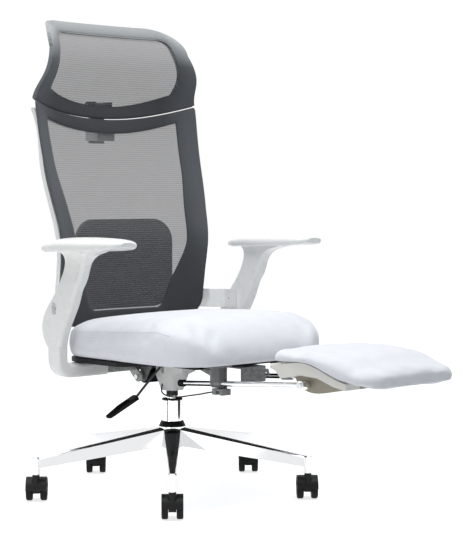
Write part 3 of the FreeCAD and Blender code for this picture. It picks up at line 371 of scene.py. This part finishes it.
def turnedSteel(name, color, roughness):
    material = makeFinish(name, color, roughness, metallic=1.0)
    tree = material.node_tree
    shader = tree.nodes["Principled BSDF"]
    fine = noiseOf(tree, objectPoint(tree, (1, 14, 14)), fineness["turnedLine"], 3.0)
    joinNodes(tree, (spanOf(tree, fine, roughness * 0.75, roughness * 1.35), shader.inputs["Roughness"]))
    bumpOn(tree, fine, 0.25, 0.00005, 0.0005)
    return material


def paintedSteel(name, color, roughness):
    material = makeFinish(name, color, roughness, coat=0.15)
    tree = material.node_tree
    shader = tree.nodes["Principled BSDF"]
    point = objectPoint(tree)
    worn = [min(1.0, channel * 1.9 + 0.04) for channel in color]
    edges = tree.nodes.new("ShaderNodeNewGeometry").outputs["Pointiness"]
    rubbed = spanOf(tree, edges, 0.0, 1.0, 0.52, 0.60)
    scuffs = sumOf(tree, "MULTIPLY", rubbed, noiseOf(tree, point, fineness["paintScuff"], 5.0))
    joinNodes(
        tree,
        (rampOf(tree, scuffs, [(0.25, color), (0.6, worn)]), shader.inputs["Base Color"]),
        (spanOf(tree, noiseOf(tree, point, fineness["paintSmudge"], 4.0), roughness * 0.8, roughness * 1.25),
         shader.inputs["Roughness"]))
    bumpOn(tree, noiseOf(tree, point, fineness["paintGrain"], 2.0), 0.35, 0.00008, 0.0006)
    return material


# the mesh cloth: level ribs with finer upright threads between them, open in between
weaveLook = {
    "ribPitch": 0.0052,
    "threadPitch": 0.0023,
    "thread": (0.085, 0.085, 0.09),
    "rib": (0.13, 0.13, 0.138),
    "band": (0.042, 0.047, 0.053),
    # painted light: the band's colour at its top, lighter where light falls from above
    "bandPaintedLightTop": (0.60, 0.63, 0.64),
    "cover": (0.61, 0.80),       # how much of the weave is thread, between the ribs and on them
    "flank": (0.17, 0.225),      # half widths between which painted light brightens the band's flanks, where it turns towards the light
    # painted light on the flanks: the heights over which it fades in, and the gain on the colour from the
    # middle to the flanks
    "flankPaintedLightHeight": (0.50, 0.62),
    "flankPaintedLightGain": (0.72, 1.8),
    "rise": (0.92, 1.14),        # heights between which painted light from above makes the band lighter towards its top
    "knitPitch": 0.0016,         # the seat's closer cloth
}


def bandsPerMetre(pitch):
    return 2 * pi / (20.0 * pitch)


def openMesh(look):
    material = makeFinish("meshCloth", look["thread"], 0.7, sheen=0.08)
    tree = material.node_tree
    shader = tree.nodes["Principled BSDF"]
    point = objectPoint(tree)
    ribs = waveOf(tree, point, bandsPerMetre(look["ribPitch"]), "Z", 0.25)
    threads = waveOf(tree, point, bandsPerMetre(look["threadPitch"]), "X", 0.3)
    cloth = sumOf(tree, "MAXIMUM", ribs, sumOf(tree, "MULTIPLY", threads, 0.72))
    cover = spanOf(tree, cloth, *look["cover"])
    tone = sumOf(tree, "MULTIPLY", ribs, spanOf(tree, noiseOf(tree, point, 16.0, 3.0), 0.6, 1.1))
    joinNodes(
        tree,
        (rampOf(tree, tone, [(0.25, look["thread"]), (0.85, look["rib"])]), shader.inputs["Base Color"]),
        (cover, shader.inputs["Alpha"]))
    bumpOn(tree, cloth, 0.5, 0.0005)
    return material


def bandCloth(look):
    material = makeFinish("bandCloth", look["band"], 0.75, sheen=0.22)
    tree = material.node_tree
    shader = tree.nodes["Principled BSDF"]
    shader.inputs["Sheen Roughness"].default_value = 0.45
    point = objectPoint(tree)
    ribs = waveOf(tree, point, bandsPerMetre(look["ribPitch"] / 2), "Z", 0.4)
    threads = waveOf(tree, point, bandsPerMetre(look["threadPitch"] / 1.3), "X", 0.4)
    split = tree.nodes.new("ShaderNodeSeparateXYZ")
    tree.links.new(point, split.inputs[0])
    # painted light: the band grows lighter towards its top, where light falls from above
    rise = spanOf(tree, split.outputs["Z"], 0.0, 1.0, *look["rise"])
    tone = sumOf(tree, "MULTIPLY", ribs, threads)
    dark = [channel * 0.72 for channel in look["band"]]
    weave = tree.nodes.new("ShaderNodeMix")
    weave.data_type = "RGBA"
    weave.inputs["A"].default_value = (*dark, 1)
    # painted light: the colour is scaled up on the band's flanks, where they face the light
    gain = tree.nodes.new("ShaderNodeVectorMath")
    gain.operation = "SCALE"
    flank = sumOf(tree, "ABSOLUTE", split.outputs["X"], 0.0)
    lit = sumOf(tree, "MULTIPLY", spanOf(tree, flank, 0.0, 1.0, *look["flank"]),
                spanOf(tree, split.outputs["Z"], 0.0, 1.0, *look["flankPaintedLightHeight"]))
    # painted light: a colour ramp from the band's own dark, through a lighter middle, to the painted light at
    # the top
    paintedLightHalfway = [channel * 1.5 for channel in look["band"]]
    height = rampOf(tree, rise, [(0.0, look["band"]), (0.55, paintedLightHalfway), (1.0, look["bandPaintedLightTop"])])
    joinNodes(
        tree,
        (spanOf(tree, tone, 0.35, 1.0), weave.inputs["Factor"]),
        (height, weave.inputs["B"]),
        (weave.outputs["Result"], gain.inputs[0]),
        (spanOf(tree, lit, *look["flankPaintedLightGain"]), gain.inputs["Scale"]),
        (gain.outputs[0], shader.inputs["Base Color"]))
    bumpOn(tree, sumOf(tree, "ADD", ribs, sumOf(tree, "MULTIPLY", threads, 0.5)), 0.5, 0.0003)
    return material


def seatCloth(name, color, pitch):
    material = makeFinish(name, color, 0.68, sheen=0.22)
    tree = material.node_tree
    shader = tree.nodes["Principled BSDF"]
    shader.inputs["Sheen Roughness"].default_value = 0.5
    point = objectPoint(tree)
    across = waveOf(tree, point, bandsPerMetre(pitch), "X", 0.6)
    along = waveOf(tree, point, bandsPerMetre(pitch), "Y", 0.6)
    upward = waveOf(tree, point, bandsPerMetre(pitch), "Z", 0.6)
    knit = sumOf(tree, "MULTIPLY", sumOf(tree, "MULTIPLY", across, along), sumOf(tree, "ADD", upward, 0.6))
    slub = noiseOf(tree, point, fineness["clothSlub"], 5.0)
    pale = [min(1.0, channel * 1.03) for channel in color]
    deep = [channel * 0.955 for channel in color]
    tone = sumOf(tree, "ADD", sumOf(tree, "MULTIPLY", knit, 0.35), sumOf(tree, "MULTIPLY", slub, 0.75))
    joinNodes(
        tree,
        (rampOf(tree, tone, [(0.25, deep), (0.62, pale)]), shader.inputs["Base Color"]),
        (spanOf(tree, slub, 0.6, 0.78), shader.inputs["Roughness"]))
    waves = sumOf(tree, "MULTIPLY", noiseOf(tree, point, fineness["clothWave"], 2.0), 1.6)
    bumpOn(tree, sumOf(tree, "ADD", knit, waves), 0.35, 0.0004)
    return material


# the shell is cream; its middle block, seen inside the open sides, is painted dark brown as painted shade in
# that recess
shellLook = {"outside": (0.76, 0.745, 0.70), "inside": (0.33, 0.30, 0.24), "paintedShadeHalf": 0.0915}


def shellPlastic(look):
    material = mouldedPlastic("creamPlastic", look["outside"], 0.42)
    tree = material.node_tree
    shader = tree.nodes["Principled BSDF"]
    split = tree.nodes.new("ShaderNodeSeparateXYZ")
    tree.links.new(objectPoint(tree), split.inputs[0])
    flank = sumOf(tree, "ABSOLUTE", split.outputs["X"], 0.0)
    # painted shade: within this half width the recessed middle block takes the dark brown instead of the
    # cream
    choose = tree.nodes.new("ShaderNodeMix")
    choose.data_type = "RGBA"
    choose.inputs["A"].default_value = (*look["inside"], 1)
    joinNodes(
        tree,
        (sumOf(tree, "GREATER_THAN", flank, look["paintedShadeHalf"]), choose.inputs["Factor"]),
        (shadeOf(tree, look["outside"], 0.04, 9.0), choose.inputs["B"]),
        (choose.outputs["Result"], shader.inputs["Base Color"]))
    return material


finishes = {
    "chrome": polishedChrome("chrome", (0.84, 0.845, 0.855), 0.055),
    "white_plastic": mouldedPlastic("whitePlastic", (0.90, 0.905, 0.89), 0.27),
    "black_plastic": mouldedPlastic("blackPlastic", (0.008, 0.008, 0.009), 0.45, 0.00012, 700.0, gloss=0.2),
    "dark_border": bandCloth(weaveLook),
    "grey_mesh": openMesh(weaveLook),
    "dark_pad": mouldedPlastic("lumbarPlastic", (0.032, 0.035, 0.038), 0.6, 0.0002, 500.0),
    "white_fabric": seatCloth("seatCloth", (0.80, 0.815, 0.86), weaveLook["knitPitch"]),
    "cream_plastic": shellPlastic(shellLook),
    "dark_steel": paintedSteel("darkSteel", (0.10, 0.105, 0.105), 0.42),
    "grey_steel": paintedSteel("greySteel", (0.30, 0.31, 0.29), 0.40),
    "bright_steel": turnedSteel("brightSteel", (0.66, 0.67, 0.68), 0.24),
    "tread": mouldedPlastic("treadRubber", (0.007, 0.007, 0.008), 0.6, 0.0003, 420.0, gloss=0.2),
    "cable": mouldedPlastic("cableSheath", (0.03, 0.03, 0.033), 0.35, 0.00005, 1200.0, 0.0),
}


def finishNodes():
    for part in frame["record"]["subparts"]:
        node = cadNodes[part["node"]]
        node.data.materials.clear()
        node.data.materials.append(finishes[part["material_slot"]])


finishNodes()
print("finishes:", len(finishes), "materials on the packed nodes")


# outlines of the back and the headrest, in the front view, as (x, z)

backLook = {
    "bottom": 0.400,
    "cornerTop": 0.943,
    "middleTop": 0.905,
    "side": [(0.227, 0.462), (0.233, 0.610), (0.247, 0.760), (0.253, 0.900), (0.253, 0.943)],
    "lowRadius": 0.062,
    "window": [(0.104, 0.436), (0.120, 0.455), (0.134, 0.500), (0.157, 0.548), (0.175, 0.594),
               (0.180, 0.640), (0.186, 0.692), (0.198, 0.764), (0.201, 0.802), (0.205, 0.901)],
    "windowTop": 0.869,
    # height, depth of the edge, and how far the middle lies behind it
    "stations": [(0.380, 0.1315, 0.0435), (0.450, 0.1274, 0.0436), (0.520, 0.1203, 0.0447),
                 (0.610, 0.1134, 0.0466), (0.690, 0.1339, 0.0501), (0.800, 0.168, 0.055),
                 (0.880, 0.1854, 0.0586), (0.990, 0.2025, 0.0615)],
    "centre": (0.0, 0.66),
}

headLook = {
    "side": [(0.252, 0.9435), (0.239, 0.997), (0.227, 1.034), (0.214, 1.070)],
    "middleLow": 0.9056,
    "corner": 0.073,
    "top": 1.143,
    "window": [(0.194, 0.973), (0.1955, 0.997), (0.191, 1.034), (0.180, 1.081)],
    "windowLow": 0.937,
    "windowCorner": 0.029,
    "windowTop": 1.110,
    "stations": [(0.880, 0.185, 0.0586), (0.940, 0.196, 0.060), (0.960, 0.191, 0.060),
                 (0.997, 0.165, 0.060), (1.034, 0.151, 0.060), (1.070, 0.156, 0.060),
                 (1.114, 0.182, 0.060), (1.141, 0.220, 0.060), (1.165, 0.262, 0.060)],
    "centre": (0.0, 1.03),
}

bowHalf = 0.260      # half width at which the edge depth is measured
bowPower = 3         # the higher, the flatter the middle
archSteps = 40       # steps in the arched edge of a top or a bottom


def smoothPath(points, steps=12):
    padded = [points[0]] + list(points) + [points[-1]]
    path = []
    for index in range(1, len(padded) - 2):
        before, start, end, after = padded[index - 1:index + 3]
        for step in range(steps):
            t = step / steps
            path.append(tuple(
                0.5 * (2 * b + (c - a) * t + (2 * a - 5 * b + 4 * c - d) * t * t
                       + (3 * b - a - 3 * c + d) * t ** 3)
                for a, b, c, d in zip(before, start, end, after)))
    path.append(tuple(points[-1]))
    return path


def arcThrough(start, middle, end, steps=24):
    sag = middle[1] - (start[1] + end[1]) / 2
    half = hypot(end[0] - start[0], end[1] - start[1]) / 2
    radius = (half * half + sag * sag) / (2 * abs(sag))
    reach = asin(min(1.0, half / radius))
    points = []
    for step in range(steps + 1):
        turn = -reach + 2 * reach * step / steps
        along = sin(turn) * radius / half
        lift = (cos(turn) - cos(reach)) * radius * (1 if sag > 0 else -1)
        points.append(((start[0] + end[0]) / 2 + along * (end[0] - start[0]) / 2,
                       (start[1] + end[1]) / 2 + lift))
    return points


def cornerArc(centre, radius, startTurn, endTurn, steps=14):
    points = []
    for step in range(steps + 1):
        turn = radians(startTurn + (endTurn - startTurn) * step / steps)
        points.append((centre[0] + radius * cos(turn), centre[1] + radius * sin(turn)))
    return points


def flipped(points):
    return [(-x, z) for x, z in reversed(points)]


def closedOutline(rightHalf):
    outline = []
    for point in rightHalf + flipped(rightHalf):
        if not outline or hypot(point[0] - outline[-1][0], point[1] - outline[-1][1]) > 1e-5:
            outline.append(point)
    return outline


def backOuter(look):
    radius = look["lowRadius"]
    corner = cornerArc((look["side"][0][0] - radius, look["bottom"] + radius), radius, -90, 0)
    reach, high = look["side"][-1][0], look["cornerTop"]
    top = arcThrough((reach, high), (0, look["middleTop"]), (-reach, high), archSteps)
    return closedOutline([(0, look["bottom"])] + corner + smoothPath(look["side"]) + top[:archSteps // 2 + 1])


def backWindow(look):
    reach, high = look["window"][-1]
    top = arcThrough((reach, high), (0, look["windowTop"]), (-reach, high), archSteps)
    return closedOutline([(0, look["window"][0][1])] + smoothPath(look["window"]) + top[:archSteps // 2 + 1])


def headOutline(side, lowMiddle, corner, top):
    low = arcThrough((-side[0][0], side[0][1]), (0, lowMiddle), side[0], archSteps)
    shoulder = cornerArc((side[-1][0] - corner, top - corner), corner, 0, 90)
    return closedOutline(low[archSteps // 2:] + smoothPath(side) + shoulder + [(0, top)])


def stationAt(stations, z):
    z = min(max(z, stations[0][0]), stations[-1][0])
    index = max(i for i in range(len(stations) - 1) if stations[i][0] <= z)
    before = stations[max(index - 1, 0)]
    start, end = stations[index], stations[index + 1]
    after = stations[min(index + 2, len(stations) - 1)]
    run = end[0] - start[0]
    t = (z - start[0]) / run
    values = []
    for column in (1, 2):
        slopeIn = (end[column] - before[column]) / (end[0] - before[0]) * run
        slopeOut = (after[column] - start[column]) / (after[0] - start[0]) * run
        stay = 2 * t ** 3 - 3 * t ** 2 + 1
        leave = t ** 3 - 2 * t ** 2 + t
        arrive = t ** 3 - t ** 2
        values.append(stay * start[column] + leave * slopeIn + (1 - stay) * end[column] + arrive * slopeOut)
    return values


def bowedDepth(stations, x, z):
    edge, bow = stationAt(stations, z)
    return edge + bow * (1 - min(1.0, abs(x) / bowHalf) ** bowPower)


def evenSpaced(outline, count):
    lengths = [0.0]
    closed = outline + [outline[0]]
    for start, end in zip(closed, closed[1:]):
        lengths.append(lengths[-1] + hypot(end[0] - start[0], end[1] - start[1]))
    points = []
    segment = 0
    for index in range(count):
        goal = lengths[-1] * index / count
        while lengths[segment + 1] < goal:
            segment += 1
        share = (goal - lengths[segment]) / max(lengths[segment + 1] - lengths[segment], 1e-9)
        start, end = closed[segment], closed[segment + 1]
        points.append((start[0] + share * (end[0] - start[0]), start[1] + share * (end[1] - start[1])))
    return points


def rayCross(outline, centre, toward):
    dx, dz = toward[0] - centre[0], toward[1] - centre[1]
    best = None
    for start, end in zip(outline, outline[1:] + outline[:1]):
        ex, ez = end[0] - start[0], end[1] - start[1]
        det = ex * dz - ez * dx
        if abs(det) < 1e-12:
            continue
        sx, sz = start[0] - centre[0], start[1] - centre[1]
        along = (ex * sz - ez * sx) / det
        share = (dx * sz - dz * sx) / det
        if along > 0 and -1e-6 <= share <= 1 + 1e-6 and (best is None or along > best):
            best = along
    return (centre[0] + best * dx, centre[1] + best * dz)


def newPiece(name, vertices, faces, material, smooth=True):
    mesh = bpy.data.meshes.new(name)
    mesh.from_pydata([tuple(v) for v in vertices], [], faces)
    mesh.validate()
    mesh.update()
    if smooth:
        mesh.polygons.foreach_set("use_smooth", [True] * len(mesh.polygons))
    piece = bpy.data.objects.new(name, mesh)
    scene.collection.objects.link(piece)
    mesh.materials.append(material)
    return piece


def applyAll(piece):
    evaluated = piece.evaluated_get(bpy.context.evaluated_depsgraph_get())
    mesh = bpy.data.meshes.new_from_object(evaluated)
    piece.modifiers.clear()
    piece.data = mesh
    return piece


# dark cloth bands: the mesh wrapped round the rim of the back and of the headrest

bandLook = {
    "around": 260,
    "section": 20,
    "front": -0.0032,
    "rear": 0.0052,
    "swell": 0.0018,      # how much the band's front is crowned
    "sideRound": 0.45,    # exponents of the section's rounding: the lower, the squarer
    "faceRound": 0.6,
    "trim": 0.1,          # share of the half thickness by which each edge stands in
    "headFront": -0.001,
    "headRear": 0.0132,
}

# stretched cloth: rings from the middle outwards, points in each, and the share of it that lies under the rim
clothGrid = {"rings": 22, "around": 160, "reach": 1.02, "backDepth": 0.002, "headDepth": 0.0055}


def wrapBand(name, outer, inner, look, shape):
    count, ring = shape["around"], shape["section"]
    middle = (shape["front"] + shape["rear"]) / 2
    half = (shape["rear"] - shape["front"]) / 2
    outerPoints = evenSpaced(outer, count)
    vertices, faces = [], []
    for point in outerPoints:
        inside = rayCross(inner, look["centre"], point)
        width = hypot(point[0] - inside[0], point[1] - inside[1])
        for step in range(ring):
            turn = 2 * pi * step / ring
            across, deep = cos(turn), sin(turn)
            side = (1 if across > 0 else -1) * abs(across) ** shape["sideRound"]
            edge = half / width
            share = 0.5 + side * (0.5 - edge * shape["trim"])
            x = inside[0] + share * (point[0] - inside[0])
            z = inside[1] + share * (point[1] - inside[1])
            lift = (1 if deep > 0 else -1) * abs(deep) ** shape["faceRound"] * half
            crown = shape["swell"] * (1 - side * side) if deep < 0 else 0
            vertices.append((x, bowedDepth(look["stations"], x, z) + middle + lift - crown, z))
    for index in range(count):
        after = (index + 1) % count
        for step in range(ring):
            up = (step + 1) % ring
            faces.append((index * ring + step, after * ring + step, after * ring + up, index * ring + up))
    return newPiece(name, vertices, faces, finishes["dark_border"])


def stretchMesh(name, window, look, depth):
    rings, count = clothGrid["rings"], clothGrid["around"]
    edge = evenSpaced(window, count)
    cx, cz = look["centre"]
    vertices = [(cx, bowedDepth(look["stations"], cx, cz) + depth, cz)]
    faces = []
    for ring in range(1, rings + 1):
        share = ring / rings * clothGrid["reach"]
        for x, z in edge:
            px, pz = cx + share * (x - cx), cz + share * (z - cz)
            vertices.append((px, bowedDepth(look["stations"], px, pz) + depth, pz))
    for index in range(count):
        after = (index + 1) % count
        faces.append((0, 1 + index, 1 + after))
        for ring in range(rings - 1):
            low = 1 + ring * count
            faces.append((low + index, low + count + index, low + count + after, low + after))
    return newPiece(name, vertices, faces, finishes["grey_mesh"])


def dressBack():
    outer, window = backOuter(backLook), backWindow(backLook)
    band = wrapBand("backBand", outer, window, backLook, bandLook)
    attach(band, "back")
    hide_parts("back_border")
    cloth = stretchMesh("backCloth", window, backLook, clothGrid["backDepth"])
    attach(cloth, "back")
    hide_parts("back_mesh")


def dressHeadrest():
    outer = headOutline(headLook["side"], headLook["middleLow"], headLook["corner"], headLook["top"])
    window = headOutline(headLook["window"], headLook["windowLow"], headLook["windowCorner"],
                         headLook["windowTop"])
    shape = dict(bandLook, front=bandLook["headFront"], rear=bandLook["headRear"])
    band = wrapBand("headBand", outer, window, headLook, shape)
    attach(band, "headrest")
    cloth = stretchMesh("headCloth", window, headLook, clothGrid["headDepth"])
    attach(cloth, "headrest")
    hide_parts("headrest_mesh")


dressBack()
dressHeadrest()
print("back and headrest: bands and mesh")


# seat and footrest cushions

seatLook = {
    "halfWidth": 0.243,
    "front": -0.323,
    "rear": 0.143,
    "frontRadius": 0.110,
    "rearRadius": 0.076,
    "low": 0.338,
    # share of the length from the rear, height of the side edge, and rise of the middle above it
    "profile": [(0.0, 0.404, 0.010), (0.115, 0.411, 0.012), (0.23, 0.415, 0.013), (0.40, 0.424, 0.012),
                (0.55, 0.430, 0.010), (0.68, 0.431, 0.009), (0.78, 0.428, 0.009), (0.865, 0.419, 0.009),
                (0.927, 0.405, 0.008), (0.973, 0.388, 0.006), (1.0, 0.374, 0.004)],
    # share of the edge's height, and how far the side stands in there
    "levels": [(0.0, 0.012), (0.12, 0.004), (0.35, 0.0), (0.66, 0.0005), (0.86, 0.003), (0.96, 0.009),
               (1.0, 0.018)],
    # distance in from the edge, and share of the middle's rise
    "crown": [(0.045, 0.35), (0.085, 0.68), (0.13, 0.9), (0.18, 1.0)],
    "voxel": 0.006,
    "pressure": 2.5,
    "cap": 0.008,        # farthest that the cover may move
    "relax": 14,         # passes that take out the wrinkles the pressure leaves
    "sewnHeight": 0.004,
    "fill": 0.8,
}

pressLook = {"lastFrame": 20, "quality": 5}


def puffUp(piece, look, restsOn):
    remesh = piece.modifiers.new("remesh", "REMESH")
    remesh.mode = "VOXEL"
    remesh.voxel_size = look["voxel"]
    applyAll(piece)
    group = piece.vertex_groups.new(name="sewnDown")
    group.add([v.index for v in piece.data.vertices if restsOn(v.co)], 1.0, "REPLACE")
    rest = [v.co.copy() for v in piece.data.vertices]
    cloth = piece.modifiers.new("cloth", "CLOTH")
    cloth.settings.use_pressure = True
    cloth.settings.uniform_pressure_force = look["pressure"]
    cloth.settings.effector_weights.gravity = 0
    cloth.settings.vertex_group_mass = "sewnDown"
    cloth.settings.quality = pressLook["quality"]
    cloth.point_cache.frame_start = 1
    cloth.point_cache.frame_end = pressLook["lastFrame"]
    for moment in range(1, pressLook["lastFrame"] + 1):
        scene.frame_set(moment)
    moved = piece.evaluated_get(bpy.context.evaluated_depsgraph_get()).to_mesh()
    places = []
    for start, vertex in zip(rest, moved.vertices):
        travel = vertex.co - start
        if travel.length > look["cap"]:
            travel = travel * (look["cap"] / travel.length)
        places.append(start + travel)
    piece.modifiers.remove(cloth)
    for vertex, place in zip(piece.data.vertices, places):
        vertex.co = place
    scene.frame_set(1)
    piece.data.polygons.foreach_set("use_smooth", [True] * len(piece.data.polygons))
    relax = piece.modifiers.new("relax", "SMOOTH")
    relax.factor = 0.5
    relax.iterations = look["relax"]
    finer = piece.modifiers.new("finer", "SUBSURF")
    finer.levels = 1
    finer.render_levels = 1
    applyAll(piece)
    return piece


def levelRing(look, inset, z, steps=12):
    x1, y0, y1 = look["halfWidth"] - inset, look["front"] + inset, look["rear"] - inset
    front, rear = max(look["frontRadius"] - inset, 0.01), max(look["rearRadius"] - inset, 0.01)
    corners = [(x1 - front, y0 + front, front, -90), (x1 - rear, y1 - rear, rear, 0),
               (-x1 + rear, y1 - rear, rear, 90), (-x1 + front, y0 + front, front, 180)]
    ring = []
    for cx, cy, radius, start in corners:
        for step in range(steps + 1):
            turn = radians(start + 90 * step / steps)
            x, y = cx + radius * cos(turn), cy + radius * sin(turn)
            ring.append((x, y, z(x, y)))
    return ring


def ringsToPiece(name, rings, material):
    count = len(rings[0])
    vertices = [point for ring in rings for point in ring]
    faces = []
    for level in range(len(rings) - 1):
        for index in range(count):
            after = (index + 1) % count
            faces.append((level * count + index, level * count + after, (level + 1) * count + after,
                          (level + 1) * count + index))
    faces.append(tuple(range(count - 1, -1, -1)))
    faces.append(tuple(range((len(rings) - 1) * count, len(rings) * count)))
    return newPiece(name, vertices, faces, material)


def seatTop(look, y):
    share = (look["rear"] - y) / (look["rear"] - look["front"])
    profile = look["profile"]
    for start, end in zip(profile, profile[1:]):
        if share <= end[0]:
            part = max(0.0, (share - start[0]) / (end[0] - start[0]))
            return start[1] + part * (end[1] - start[1]), start[2] + part * (end[2] - start[2])
    return profile[-1][1:]


def makeSeat(look):
    rings = []
    low = look["low"]
    for share, inset in look["levels"]:
        rings.append(levelRing(look, inset, lambda x, y: low + share * (seatTop(look, y)[0] - low)))
    for inset, lift in look["crown"]:
        rings.append(levelRing(look, inset, lambda x, y: seatTop(look, y)[0] + lift * seatTop(look, y)[1]))
    seat = ringsToPiece("seatCushion", rings, finishes["white_fabric"])
    puffUp(seat, look, lambda co: co.z < low + look["sewnHeight"])
    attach(seat, "chassis")
    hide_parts("seat_cushion")
    return seat


# a sewn welt: a fine tube that lies half sunk in its cushion
weltLook = {
    "radius": 0.0011,
    "sides": 8,
    "stand": 0.8,            # how proud it stands, as a share of its half width
    "outside": 0.004,        # how far outside the cover its path is drawn before it is laid on
    "below": 0.004,          # how far under the top edge
    "frontEnd": -0.262,      # the top welt ends where the front panel begins
    "step": 0.006,
    "sideX": 0.25,
    "sideY": -0.235,
    "sideBulge": 0.024,
    "sideTop": 0.430,
    "sideDrop": 0.088,
    "sideSteps": 30,
}


def layWelt(name, host, path, look):
    corners = [vertex.co.copy() for vertex in host.data.vertices]
    tree = BVHTree.FromPolygons(corners, [face.vertices[:] for face in host.data.polygons])
    sides, radius = look["sides"], look["radius"]
    vertices, faces = [], []
    places = [tree.find_nearest(Vector(point))[:2] for point in path]
    for index, (place, normal) in enumerate(places):
        before = places[max(index - 1, 0)][0]
        after = places[min(index + 1, len(places) - 1)][0]
        along = (after - before).normalized()
        side = along.cross(normal).normalized()
        for step in range(sides):
            turn = 2 * pi * step / sides
            vertices.append(place + radius * (cos(turn) * normal * look["stand"] + sin(turn) * side))
    for index in range(len(places) - 1):
        for step in range(sides):
            up = (step + 1) % sides
            faces.append((index * sides + step, (index + 1) * sides + step, (index + 1) * sides + up,
                          index * sides + up))
    faces.append(tuple(range(sides - 1, -1, -1)))
    faces.append(tuple(range((len(places) - 1) * sides, len(places) * sides)))
    welt = newPiece(name, vertices, faces, finishes["white_fabric"])
    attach(welt, "chassis")


def flatGap(start, end):
    return hypot(end[0] - start[0], end[1] - start[1])


def topWeltPath(look, welt):
    # an open path: it starts after the widest gap, which is the front that has no welt
    level = []
    for x, y, z in levelRing(look, -welt["outside"], lambda x, y: seatTop(look, y)[0], 40):
        if y > welt["frontEnd"]:
            level.append((x, y, z - welt["below"]))
    cut = max(range(len(level)), key=lambda i: flatGap(level[i - 1], level[i]))
    level = level[cut:] + level[:cut]
    path = []
    for start, end in zip(level, level[1:]):
        steps = max(1, int(flatGap(start, end) / welt["step"]))
        for step in range(steps):
            path.append(tuple(a + (b - a) * step / steps for a, b in zip(start, end)))
    return path


def sideWeltPath(side, welt):
    path = []
    for step in range(welt["sideSteps"]):
        share = step / (welt["sideSteps"] - 1)
        path.append((side * welt["sideX"], welt["sideY"] - welt["sideBulge"] * sin(share * pi / 2),
                     welt["sideTop"] - welt["sideDrop"] * share))
    return path


def sewSeat(look, welt, seat):
    # one welt runs round the top edge, and one goes down each side where the front panel is sewn on
    layWelt("seatWelt", seat, topWeltPath(look, welt), welt)
    layWelt("seatWeltRight", seat, sideWeltPath(-1, welt), welt)
    layWelt("seatWeltLeft", seat, sideWeltPath(1, welt), welt)


footLook = {
    "voxel": 0.005,
    "pressure": 4.0,
    "cap": 0.005,
    "shrink": 0.0025,        # the cover starts this far inside its solid
    "relax": 4,
    "weld": 0.00005,
    "fill": 0.8,
}


def makeFootPad(look):
    source = cadNodes["footrest_pad"].data
    mesh = source.copy()
    pad = bpy.data.objects.new("footPad", mesh)
    scene.collection.objects.link(pad)
    build = bmesh.new()
    build.from_mesh(mesh)
    bmesh.ops.remove_doubles(build, verts=build.verts, dist=look["weld"])
    build.normal_update()
    for vertex in build.verts:
        vertex.co -= vertex.normal * look["shrink"]
    build.to_mesh(mesh)
    build.free()
    mesh.materials.clear()
    mesh.materials.append(finishes["white_fabric"])
    puffUp(pad, look, lambda co: False)
    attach(pad, "footrest")
    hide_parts("footrest_pad")


sewSeat(seatLook, weltLook, makeSeat(seatLook))
makeFootPad(footLook)
print("cushions: seat and footrest")


# cable from the column block to the footrest latch

cableLook = {
    "route": [(-0.022, 0.006, 0.271), (-0.036, 0.002, 0.252), (-0.038, -0.014, 0.241),
              (-0.034, -0.040, 0.238), (-0.038, -0.076, 0.242), (-0.050, -0.116, 0.250),
              (-0.067, -0.158, 0.257), (-0.086, -0.202, 0.265), (-0.102, -0.246, 0.274),
              (-0.110, -0.282, 0.280)],
    "diameter": 0.0035,
    "length": 0.3264,
}


def layCable(look):
    data = bpy.data.curves.new("latchCable", "CURVE")
    data.dimensions = "3D"
    spline = data.splines.new("NURBS")
    spline.points.add(len(look["route"]) - 1)
    for point, place in zip(spline.points, look["route"]):
        point.co = (*place, 1)
    spline.order_u = 3
    spline.use_endpoint_u = True
    spline.resolution_u = 8
    data.bevel_depth = look["diameter"] / 2
    data.bevel_resolution = 4
    data.use_fill_caps = True
    data.materials.append(finishes["cable"])
    cable = bpy.data.objects.new("latchCable", data)
    scene.collection.objects.link(cable)
    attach(cable, "chassis")
    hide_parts("latch_cable")


layCable(cableLook)
print("cable laid")
